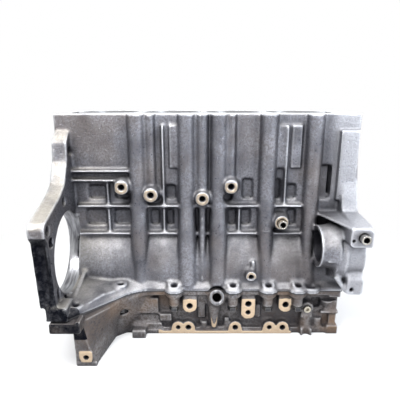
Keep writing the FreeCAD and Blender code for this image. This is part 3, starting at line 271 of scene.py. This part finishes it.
facingLimits = {"tan": 0.78, "silver": 0.85, "planed": 0.9, "darkFlangeFront": 0.3}
castSpans = {  # what a mask is read from, and what it becomes where that isn't 0 to 1
    "ridge": (0.54, 0.74), "crease": (0.475, 0.28), "patches": (0.35, 0.7), "mottle": (0.42, 0.62, 0.0, 0.85),
    "warm": (0.45, 0.7), "lifted": (0.02, 0.7), "cream": (-0.175, -0.1), "under": (-0.1, -0.7, 0.0, 0.6),
    "specks": (0.48, 0.75, 0.0, 0.3), "darkFlangeFlecks": (0.42, 0.62, 1.0, 0.78), "turning": (0.38, 0.62),
    "milled": (0.3, 0.8), "planed": (0.25, 0.75), "rough": (0.3, 0.7),
}
castShares = {
    "edgeWearAndHighlight": 0.5, "crease": 0.95, "shadedBore": 0.85, "timingEndLight": 0.6, "dirtAndShadeRough": 0.2, "liftedRough": 0.18,
    "dirtAndShadeMetal": 0.3, "workedBump": 0.9,
}
roughSteps = {"cast": (-0.09, 0.11), "turned": (-0.06, 0.08)}  # down and up from a look's roughness
turnedSpans = {"color": (0.35, 0.7), "rough": (0.3, 0.7)}
timingEndLightWidth = 0.02  # metres over which the painted light on the timing end begins
warmScale = 0.6
turningScale = (260.0, 40.0, 40.0)
cutterSpacing = 2600.0


def facesMask(tree, worked, key):
    masks = [
        useGroup(tree, machinedFace, Direction=direction, Level=level, Reach=reach, Facing=facingLimits[key],
                 Low=low, High=high)["Mask"]
        for direction, level, reach, low, high in worked[key]
    ]
    return strongest(tree, *masks)


def boreMask(tree, axis, radius, low, high):
    return useGroup(tree, boredWall, Axis=axis, Radius=radius, Low=low, High=high)["Mask"]


def newMetal(name):
    material, tree = newTree(name)
    shader = put(tree, "ShaderNodeBsdfPrincipled")
    tree.links.new(shader.outputs[0], put(tree, "ShaderNodeOutputMaterial").inputs[0])
    return material, tree, shader


def roughRange(look, kind):
    return [look["rough"] + step for step in roughSteps[kind]]


def castColor(tree, look, place, mottle):  # bare cast skin with painted light on top faces and the timing end and painted shade underneath, and how much of it faces up
    coords = place["Object"]
    upward = separate(tree, place["Normal"])["Z"]
    along = separate(tree, coords)["X"]
    cloud = noise(tree, coords, look["patchScale"], detail=4.0, roughness=0.6, distortion=0.4)
    patches = remap(tree, cloud, *castSpans["patches"], smooth=True)
    cast = mixColor(tree, patches, look["light"], look["dark"])
    cast = mixColor(tree, remap(tree, mottle, *castSpans["mottle"]), cast, look["dull"])
    stains = noise(tree, coords, look["patchScale"] * warmScale, detail=2.0)
    warm = remap(tree, stains, *castSpans["warm"], outHigh=look["stain"], smooth=True)
    cast = mixColor(tree, warm, cast, look["stainColor"])
    # painted light: faces that point up turn lighter, cream towards the gearbox end
    lifted = remap(tree, upward, *castSpans["lifted"], outHigh=look["lift"], smooth=True)
    topLitColor = mixColor(tree, remap(tree, along, *castSpans["cream"], smooth=True), look["cream"], look["topLitGrey"])
    cast = mixColor(tree, lifted, cast, mixColor(tree, patches, topLitColor, look["dull"]))
    # painted light: the timing end turns lighter and bluer
    timingEndLightFrom = look["timingEndLightFrom"]
    timingEndLight = remap(tree, along, timingEndLightFrom, timingEndLightFrom + timingEndLightWidth, outHigh=castShares["timingEndLight"], smooth=True)
    cast = mixColor(tree, timingEndLight, cast, look["timingEndLight"])
    # painted shade: faces that point down turn darker
    cast = mixColor(tree, remap(tree, upward, *castSpans["under"], smooth=True), cast, look["dirtAndShadeColor"])
    grit = noise(tree, coords, look["speckScale"], detail=2.0, roughness=0.7)
    return mixColor(tree, remap(tree, grit, *castSpans["specks"]), cast, look["dirtAndShadeColor"]), lifted


def castMetal(name, look, worked):
    material, tree, shader = newMetal(name)
    place = put(tree, "ShaderNodeTexCoord").outputs
    coords = place["Object"]
    grain = useGroup(tree, castGrain, Fine=look["fine"], Coarse=look["coarse"])
    edge = useGroup(tree, softEdge, Radius=look["edge"])
    # ambient occlusion: grime and painted shade in corners
    near = useGroup(tree, cavityShade, Distance=look["dirtAndShadeReach"], Strength=look["dirtAndShade"])["Mask"]
    # ambient occlusion over a wide reach: painted shade in deep rooms
    deep = useGroup(tree, cavityShade, Distance=look["deepReach"], Strength=look["deep"])["Mask"]
    curve = put(tree, "ShaderNodeAttribute", attribute_name="curveMap").outputs["Fac"]
    # curvature: ridges get painted highlights, creases get painted shade
    ridge, crease = (remap(tree, curve, *castSpans[key]) for key in ("ridge", "crease"))
    tan, silver, planed, darkFlangeFront = (facesMask(tree, worked, key) for key in ("tan", "silver", "planed", "darkFlangeFront"))
    for bore in worked["bores"]:
        silver = strongest(tree, silver, boreMask(tree, *bore))
    machined = strongest(tree, tan, silver, planed)

    cast, lifted = castColor(tree, look, place, grain["Mottle"])
    # edges and ridges turn lighter: wear with a painted highlight
    wornAndHighlit = strongest(tree, scaled(tree, edge["WearAndHighlight"], castShares["edgeWearAndHighlight"]), ridge)
    cast = mixColor(tree, scaled(tree, wornAndHighlit, look["wearAndHighlightShare"]), cast, look["wornAndHighlit"])
    # near-black front of the gearbox flange, with flecks
    flecks = noise(tree, coords, scale=90.0, detail=4.0, roughness=0.75)
    darkFlangeFront = mathNode(tree, "MULTIPLY", darkFlangeFront, remap(tree, flecks, *castSpans["darkFlangeFlecks"]))
    cast = mixColor(tree, darkFlangeFront, cast, look["darkFlangeFront"])
    # creases and corners turn darker: grime with painted shade
    dirtAndShade = strongest(tree, scaled(tree, crease, castShares["crease"]), near)
    cast = mixColor(tree, dirtAndShade, cast, look["dirtAndShadeColor"])
    # painted shade inside the port bore
    for bore in worked["shadedBores"]:
        inside = scaled(tree, boreMask(tree, *bore), castShares["shadedBore"])
        cast = mixColor(tree, inside, cast, look["dirtAndShadeColor"])

    streaks = put(tree, "ShaderNodeMapping")
    streaks.inputs["Scale"].default_value = turningScale
    tree.links.new(coords, streaks.inputs["Vector"])
    turning = remap(tree, noise(tree, streaks.outputs[0], scale=1.0), *castSpans["turning"])
    marks = useGroup(tree, cutterMarks, Spacing=cutterSpacing)["Marks"]
    cloud = remap(tree, noise(tree, coords, scale=260.0), *castSpans["milled"])
    color = mixColor(tree, tan, cast, mixColor(tree, cloud, look["milled"], look["milledDark"]))
    plane = mixColor(tree, remap(tree, marks, *castSpans["planed"]), look["planed"], look["planedDark"])
    color = mixColor(tree, planed, color, plane)
    color = mixColor(tree, silver, color, mixColor(tree, turning, look["silver"], look["silverDark"]))
    # painted shade deep in the casting, not on bored walls
    shadow = mathNode(tree, "MULTIPLY", deep, mathNode(tree, "SUBTRACT", 1.0, silver))
    tree.links.new(mixColor(tree, shadow, color, look["dirtAndShadeColor"]), shader.inputs["Base Color"])

    rough = remap(tree, grain["Mottle"], *castSpans["rough"], *roughRange(look, "cast"))
    rough = mathNode(tree, "ADD", rough, scaled(tree, strongest(tree, dirtAndShade, darkFlangeFront), castShares["dirtAndShadeRough"]))
    rough = mathNode(tree, "ADD", rough, scaled(tree, lifted, castShares["liftedRough"]))
    flat = put(tree, "ShaderNodeMix", data_type="FLOAT")
    for socket, value in zip(flat.inputs, (machined, None, rough, look["milledRough"])):
        if value is not None:
            fill(tree, socket, value)
    tree.links.new(flat.outputs[0], shader.inputs["Roughness"])
    metal = mathNode(tree, "SUBTRACT", look["metal"], scaled(tree, dirtAndShade, castShares["dirtAndShadeMetal"]), clamp=True)
    tree.links.new(strongest(tree, metal, silver, darkFlangeFront), shader.inputs["Metallic"])
    bump = put(tree, "ShaderNodeBump")
    bump.inputs["Distance"].default_value = look["bump"]
    strength = mathNode(tree, "SUBTRACT", 1.0, scaled(tree, machined, castShares["workedBump"]))
    tree.links.new(strength, bump.inputs["Strength"])
    tree.links.new(grain["Height"], bump.inputs["Height"])
    tree.links.new(edge["Normal"], bump.inputs["Normal"])
    tree.links.new(bump.outputs[0], shader.inputs["Normal"])
    return material


def honedIron(name, look):  # cast iron with the crosshatch of a honed bore
    material, tree, shader = newMetal(name)
    coords = objectPlace(tree)
    hatches = []
    for tilt in (look["angle"], -look["angle"]):
        slope = put(tree, "ShaderNodeMapping")
        slope.inputs["Rotation"].default_value = (math.radians(tilt), 0.0, 0.0)
        slope.inputs["Scale"].default_value = look["hatch"]
        tree.links.new(coords, slope.inputs["Vector"])
        hatches.append(noise(tree, slope.outputs[0], scale=1.0, detail=2.0))
    lines = scaled(tree, mathNode(tree, "ADD", *hatches), 1 / len(hatches))
    color = mixColor(tree, remap(tree, lines, *look["lines"]), look["light"], look["dark"])
    # painted shade deep in the bore
    deep = useGroup(tree, cavityShade, Distance=look["deepReach"], Strength=look["deep"])["Mask"]
    tree.links.new(mixColor(tree, deep, color, look["dirtAndShadeColor"]), shader.inputs["Base Color"])
    tree.links.new(remap(tree, lines, *look["lines"], *look["rough"]), shader.inputs["Roughness"])
    shader.inputs["Metallic"].default_value = look["metal"]
    return material


def turnedMetal(name, look):  # turned or pressed steel, zinc and, without metal, sealant
    material, tree, shader = newMetal(name)
    coords = objectPlace(tree)
    edge = useGroup(tree, softEdge, Radius=look["edge"])
    dirtAndShade = useGroup(tree, cavityShade, Distance=look["dirtAndShadeReach"], Strength=look["dirtAndShade"])["Mask"]
    cloud = noise(tree, coords, look["scale"], detail=4.0)
    color = mixColor(tree, remap(tree, cloud, *turnedSpans["color"]), look["light"], look["dark"])
    # edges turn lighter: wear with a painted highlight
    color = mixColor(tree, scaled(tree, edge["WearAndHighlight"], look["wearAndHighlightShare"]), color, look["wornAndHighlit"])
    # corners turn darker: grime with painted shade
    tree.links.new(mixColor(tree, dirtAndShade, color, look["dirtAndShadeColor"]), shader.inputs["Base Color"])
    rough = remap(tree, cloud, *turnedSpans["rough"], *roughRange(look, "turned"))
    tree.links.new(rough, shader.inputs["Roughness"])
    shader.inputs["Metallic"].default_value = look["metal"]
    bump = put(tree, "ShaderNodeBump")
    bump.inputs["Distance"].default_value = look["bump"]
    bump.inputs["Strength"].default_value = look["bumpStrength"]
    tree.links.new(noise(tree, coords, look["fineScale"], detail=2.0), bump.inputs["Height"])
    tree.links.new(edge["Normal"], bump.inputs["Normal"])
    tree.links.new(bump.outputs[0], shader.inputs["Normal"])
    return material


# these looks hold the colours for painted highlights on edges, painted shade in hollows and underneath, and
# painted light on top faces and on the timing end
blockLook = {
    "fine": 1300.0, "coarse": 330.0, "edge": 0.0012, "dirtAndShadeReach": 0.017, "dirtAndShade": 1.0, "patchScale": 20.0,
    "speckScale": 620.0, "deepReach": 0.06, "deep": 0.8, "light": (0.265, 0.27, 0.305),
    "dark": (0.1, 0.102, 0.12), "dull": (0.155, 0.152, 0.165), "stain": 0.32, "stainColor": (0.2, 0.155, 0.12),
    "lift": 0.85, "timingEndLightFrom": 0.158, "timingEndLight": (0.5, 0.51, 0.55), "cream": (0.45, 0.42, 0.37),
    "topLitGrey": (0.48, 0.47, 0.475),
    "wearAndHighlightShare": 1.0, "wornAndHighlit": (0.9, 0.92, 0.97), "dirtAndShadeColor": (0.008, 0.008, 0.013), "darkFlangeFront": (0.006, 0.007, 0.011),
    "milled": (0.5, 0.42, 0.33), "milledDark": (0.36, 0.3, 0.24), "silver": (0.35, 0.355, 0.37),
    "silverDark": (0.14, 0.14, 0.152), "planed": (0.5, 0.495, 0.49), "planedDark": (0.38, 0.375, 0.37),
    "rough": 0.34, "milledRough": 0.36, "metal": 0.8, "bump": 0.0007,
}
toFront, toBack, toTiming, toGearbox = (0.0, -1.0, 0.0), (0.0, 1.0, 0.0), (1.0, 0.0, 0.0), (-1.0, 0.0, 0.0)
toDeck, toSump = (0.0, 0.0, 1.0), (0.0, 0.0, -1.0)
crankAxis = (0.0, 0.0, 0.0)
crankBores = [(crankAxis, 0.027, -0.19, 0.21), (crankAxis, 0.046, -0.2, -0.177), (crankAxis, 0.05, 0.179, 0.21)]
crankFaces = [
    (toGearbox, 0.178, 0.0006, (-0.18, -0.05, -0.05), (-0.17, 0.05, 0.05)),
    (toTiming, 0.180, 0.0006, (0.17, -0.05, -0.05), (0.19, 0.05, 0.05)),
]
blockWorked = {  # faces: direction, level along it, how near to it, and the box they are in
    "tan": [
        (toFront, 0.076, 0.0012, (-0.14, -1.0, 0.104), (0.08, 0.0, 0.145)),
        (toFront, 0.076, 0.0012, (0.085, -1.0, 0.078), (0.12, 0.0, 0.106)),
        (toFront, 0.089, 0.0012, (0.045, -1.0, 0.02), (0.08, 0.0, 0.06)),
    ],
    "planed": [
        (toDeck, 0.230, 0.0006, lowest, highest),
        (toGearbox, 0.187, 0.0006, lowest, highest),
        (toTiming, 0.200, 0.0006, lowest, highest),
        (toBack, 0.074, 0.0012, (0.03, 0.0, 0.08), (0.11, 1.0, 0.17)),
        *crankFaces,
    ],
    "silver": [(toGearbox, -0.146, 0.0012, (0.14, -0.12, 0.03), (0.15, -0.06, 0.1))],
    "bores": [((0.0, -0.092, 0.06), 0.0515, -0.2, -0.163), *crankBores],  # axis, radius, from and to along X
    # the port bore, painted dark with shade inside
    "shadedBores": [((0.0, -0.086, 0.065), 0.0195, 0.1475, 0.2)],
    "darkFlangeFront": [(toFront, 0.160, 0.017, (-0.19, -1.0, -0.02), (-0.138, 0.0, 0.104))],
}
bedplateLook = dict(
    blockLook, light=(0.27, 0.26, 0.262), dark=(0.06, 0.055, 0.06), dull=(0.14, 0.115, 0.1), stain=0.9,
    stainColor=(0.3, 0.195, 0.12), milled=(0.72, 0.56, 0.39), milledDark=(0.6, 0.46, 0.32), metal=0.65,
    speckScale=330.0, bump=0.0011, wornAndHighlit=(0.55, 0.54, 0.54), rough=0.36, milledRough=0.5,
    topLitGrey=(0.27, 0.25, 0.25), lift=0.6, timingEndLightFrom=0.4, cream=(0.27, 0.25, 0.24),
)
bedplateWorked = {
    "tan": [
        (toFront, 0.082, 0.0006, (-0.06, -1.0, -0.07), (0.1245, 0.0, -0.0125)),
        (toFront, 0.1495, 0.0006, (-0.151, -1.0, -0.0605), (-0.131, 0.0, -0.0448)),
    ],
    "planed": [
        (toSump, 0.067, 0.0006, lowest, highest),
        (toGearbox, 0.187, 0.0006, lowest, highest),
        (toTiming, 0.186, 0.0006, lowest, highest),
        *crankFaces,
    ],
    "silver": [((0.0, -0.9, 0.436), 0.0794, 0.0015, (0.0, -1.0, -0.03), (0.05, 0.0, 0.03))],
    "bores": crankBores,
    "shadedBores": [],
    "darkFlangeFront": [(toFront, 0.160, 0.013, (-0.19, -1.0, -0.03), (-0.13, 0.0, 0.0))],
}
steelLook = {
    "edge": 0.0006, "dirtAndShade": 0.5, "dirtAndShadeReach": 0.008, "scale": 90.0, "fineScale": 540.0,
    "light": (0.62, 0.6, 0.56), "dark": (0.42, 0.4, 0.37), "wornAndHighlit": (0.8, 0.78, 0.74), "wearAndHighlightShare": 0.6,
    "dirtAndShadeColor": (0.06, 0.055, 0.05), "rough": 0.28, "metal": 1.0, "bump": 0.0001, "bumpStrength": 0.6,
}
linerLook = {
    "angle": 30.0, "hatch": (25.0, 25.0, 1400.0), "lines": (0.4, 0.6), "light": (0.62, 0.62, 0.63),
    "dark": (0.4, 0.4, 0.41), "dirtAndShadeColor": (0.05, 0.05, 0.055), "deepReach": 0.06, "deep": 0.35,
    "rough": (0.32, 0.42), "metal": 0.9,
}
boltLook = dict(steelLook, light=(0.1, 0.1, 0.105), dark=(0.05, 0.05, 0.055), rough=0.4)
plugLook = dict(steelLook, light=(0.62, 0.58, 0.48), dark=(0.45, 0.41, 0.33))
sealantLook = dict(
    steelLook, light=(0.05, 0.05, 0.055), dark=(0.025, 0.025, 0.03), wornAndHighlit=(0.08, 0.08, 0.085), metal=0.0,
    rough=0.45, bump=0.0004,
)
linerNames = ["cylinder_liner_%d" % number for number in range(1, 5)]
finishes = {}
for material, names in (
    (castMetal("blockCasting", blockLook, blockWorked), ["cylinder_block"]),
    (castMetal("bedplateCasting", bedplateLook, bedplateWorked), ["bedplate"]),
    (honedIron("linerIron", linerLook), linerNames),
    (turnedMetal("boltBlack", boltLook), ["main_bearing_bolts", "bedplate_bolts"]),
    (turnedMetal("dowelSteel", dict(steelLook, rough=0.2)),
     ["wall_dowel", "ear_dowel", "ring_dowels", "piston_cooling_jets"]),
    (turnedMetal("plugZinc", plugLook), ["gallery_plugs", "bedplate_plug"]),
    (turnedMetal("sealantBead", sealantLook), ["parting_sealant"]),
):
    for name in names:
        finishes[name] = material
for name, thing in nodes.items():
    thing.data.materials.clear()
    thing.data.materials.append(finishes[name])
print("finishes set")

castings = {
    "cylinder_block": {
        "piece": "blockSkin", "slot": "block_casting", "voxel": 0.0015, "rounds": 16, "keep": 0.175,
        "plugs": [((-0.1862, -0.1558, 0.0875), (-0.1705, -0.1539, 0.0975))],  # a wall thinner than a voxel
        "crisp": [  # machined regions that stay sharp
            ((-1, -1, 0.2262), (1, 1, 1)), ((-1, -1, -1), (-0.1845, 1, 1)), ((0.1965, -1, -1), (1, 1, 1)),
            ((-1, -1, -1), (1, 1, 0.0022)), ((-0.14, -0.078, 0.08), (0.12, -0.0735, 0.135)),
            ((0.17, -1, 0.07), (1, -0.1255, 0.11)), ((0.045, -0.0905, 0.02), (0.08, -0.087, 0.06)),
            ((0.14, -0.12, 0.03), (0.1485, -0.055, 0.1)), ((-0.2, -0.054, -0.06), (0.21, 0.054, 0.23)),
            ((0.02, 0.07, 0.08), (0.12, 0.08, 0.17)),
        ],
    },
    "bedplate": {
        "piece": "bedplateSkin", "slot": "bedplate_casting", "voxel": 0.0013, "rounds": 9, "keep": 0.4,
        "plugs": [],
        "crisp": [
            ((-1, -1, -0.0022), (1, 1, 1)), ((-1, -1, -1), (1, 1, -0.0655)), ((0.183, -1, -1), (1, 1, 1)),
            ((-1, -1, -1), (-0.1845, 1, 1)), ((-1, -0.0845, -1), (0.145, -0.0795, -0.012)),
            ((-0.19, -0.06, -1), (0.19, 0.06, 1)), ((-0.16, -0.152, -0.07), (-0.12, -0.1475, -0.04)),
        ],
    },
}
skinSteps = {  # what both castings share
    "weld": 0.000001, "tidyRounds": 3, "factor": 0.5, "blur": 0.5, "ridgeAngle": 120.0, "creaseAngle": 60.0,
    "smoothAngle": 50.0,
}


def inBox(point, low, high):
    x, y, z = point
    return low[0] < x < high[0] and low[1] < y < high[1] and low[2] < z < high[2]


def castSkin(name):  # the same form with the fillets of a sand casting
    view = castings[name]
    piece = nodes[name].copy()
    piece.data = nodes[name].data.copy()
    piece.name = view["piece"]
    bpy.context.scene.collection.objects.link(piece)
    piece.hide_set(False)
    parts = [piece]
    for low, high in view["plugs"]:
        middle = [(a + b) / 2 for a, b in zip(low, high)]
        bpy.ops.mesh.primitive_cube_add(size=1.0, location=middle, scale=[b - a for a, b in zip(low, high)])
        parts.append(bpy.context.object)
    for thing in parts:
        thing.select_set(True)
    bpy.context.view_layer.objects.active = piece
    if len(parts) > 1:
        bpy.ops.object.join()
    bpy.ops.object.mode_set(mode="EDIT")
    bpy.ops.mesh.select_all(action="SELECT")
    bpy.ops.mesh.remove_doubles(threshold=skinSteps["weld"])
    bpy.ops.object.mode_set(mode="OBJECT")
    shell = piece.modifiers.new("shell", "REMESH")
    shell.mode = "VOXEL"
    shell.voxel_size = view["voxel"]
    bpy.ops.object.modifier_apply(modifier="shell")
    soft = [
        vertex.index for vertex in piece.data.vertices
        if not any(inBox(vertex.co, low, high) for low, high in view["crisp"])
    ]
    piece.vertex_groups.new(name="asCast").add(soft, 1.0, "REPLACE")
    for label, rounds, group in (("tidy", skinSteps["tidyRounds"], ""), ("fillet", view["rounds"], "asCast")):
        step = piece.modifiers.new(label, "SMOOTH")
        step.factor = skinSteps["factor"]
        step.iterations = rounds
        step.vertex_group = group
        bpy.ops.object.modifier_apply(modifier=label)
    lighter = piece.modifiers.new("lighter", "DECIMATE")
    lighter.ratio = view["keep"]
    bpy.ops.object.modifier_apply(modifier="lighter")
    bpy.ops.geometry.color_attribute_add(  # how much each spot stands out or lies in, for painted highlights on ridges and painted shade in creases
        name="curveMap", domain="CORNER", data_type="FLOAT_COLOR", color=(1, 1, 1, 1)
    )
    bpy.ops.paint.vertex_color_dirt(
        blur_strength=skinSteps["blur"], blur_iterations=1, dirt_only=False, normalize=False,
        clean_angle=math.radians(skinSteps["ridgeAngle"]), dirt_angle=math.radians(skinSteps["creaseAngle"]),
    )
    bpy.ops.object.shade_smooth_by_angle(angle=math.radians(skinSteps["smoothAngle"]))
    piece.data.materials.clear()
    piece.data.materials.append(finishes[name])
    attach(piece, "root")
    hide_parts(name)
    deselectAll()
    print(view["piece"], "faces", len(piece.data.polygons))


deselectAll()
for name in castings:
    castSkin(name)


def seenDirectly(tree):  # by the camera, in a reflection or through something clear
    path = put(tree, "ShaderNodeLightPath").outputs
    return strongest(tree, path["Is Camera Ray"], path["Is Glossy Ray"], path["Is Transmission Ray"])


def makeStage():
    view = {"size": 6.0, "color": (0.86, 0.86, 0.87, 1), "shadowFrom": 0.2, "shadowTo": 0.55, "nearWhite": 0.45}
    bpy.ops.mesh.primitive_plane_add(size=view["size"], location=(0, 0, cadLow.z))
    floor = bpy.context.object
    floor.name = "studioFloor"
    material, tree = newTree("studioFloorPaint")
    diffuse = put(tree, "ShaderNodeBsdfDiffuse")
    diffuse.inputs[0].default_value = view["color"]
    glow = put(tree, "ShaderNodeEmission")
    away = vectorNode(tree, "LENGTH", objectPlace(tree))
    white = remap(tree, away, view["shadowFrom"], view["shadowTo"], view["nearWhite"], 1.0, smooth=True)
    mixer = put(tree, "ShaderNodeMixShader")  # the floor turns into the white backdrop away from the object
    tree.links.new(mathNode(tree, "MULTIPLY", seenDirectly(tree), white), mixer.inputs[0])
    tree.links.new(diffuse.outputs[0], mixer.inputs[1])
    tree.links.new(glow.outputs[0], mixer.inputs[2])
    tree.links.new(mixer.outputs[0], put(tree, "ShaderNodeOutputMaterial").inputs[0])
    floor.data.materials.append(material)
    deselectAll()


def makeLight(name, place, aim, size, power, color):
    lamp = bpy.data.lights.new(name, "AREA")
    lamp.shape = "RECTANGLE"
    lamp.size, lamp.size_y = size
    lamp.energy = power
    lamp.color = color
    thing = bpy.data.objects.new(name, lamp)
    bpy.context.scene.collection.objects.link(thing)
    thing.location = place
    toward = mathutils.Vector(aim) - mathutils.Vector(place)
    thing.rotation_euler = toward.to_track_quat("-Z", "Y").to_euler()


def makeWorld():
    view = {"low": (0.1, 0.1, 0.11), "high": (0.5, 0.53, 0.6), "span": (-0.2, 0.9), "backdrop": (1.0, 1.0, 1.0)}
    world = bpy.data.worlds.new("studioWorld")
    bpy.context.scene.world = world
    world.use_nodes = True
    tree = world.node_tree
    tree.nodes.clear()
    height = separate(tree, put(tree, "ShaderNodeTexCoord").outputs["Generated"])["Z"]
    sky = mixColor(tree, remap(tree, height, *view["span"]), view["low"], view["high"])
    back = put(tree, "ShaderNodeBackground")
    tree.links.new(mixColor(tree, seenDirectly(tree), sky, view["backdrop"]), back.inputs[0])
    back.inputs[1].default_value = 1.0
    tree.links.new(back.outputs[0], put(tree, "ShaderNodeOutputWorld").inputs[0])


def makeCamera():
    shot = {"place": (-0.003, -0.549, 0.25), "pitch": 75.0, "lens": 34.65, "sensor": 36.0, "nearest": 0.01}
    data = bpy.data.cameras.new("photoCamera")
    data.lens = shot["lens"]
    data.sensor_width = shot["sensor"]
    data.clip_start = shot["nearest"]
    camera = bpy.data.objects.new("photoCamera", data)
    camera.location = shot["place"]
    camera.rotation_euler = (math.radians(shot["pitch"]), 0, 0)
    bpy.context.scene.collection.objects.link(camera)
    bpy.context.scene.camera = camera


makeStage()
for name, place, aim, size, power, color in (
    ("keyLight", (-0.4, -0.7, 1.0), (0, 0, 0.06), (0.35, 0.35), 13.0, (1.0, 0.985, 0.96)),
    ("topStrip", (0.05, -0.35, 1.0), (0, -0.05, 0.05), (1.2, 0.12), 10.0, (0.95, 0.975, 1.0)),
    ("fillLight", (0.9, -0.7, 0.4), (0.05, 0, 0.05), (0.4, 0.6), 7.0, (0.9, 0.95, 1.0)),
    ("rimLight", (0.1, 0.9, 0.8), (0, 0, 0.1), (1.2, 0.4), 6.0, (0.9, 0.95, 1.0)),
):
    makeLight(name, place, aim, size, power, color)
makeWorld()
makeCamera()
bpy.context.scene.view_settings.view_transform = "Standard"
print("stage, light and camera set")
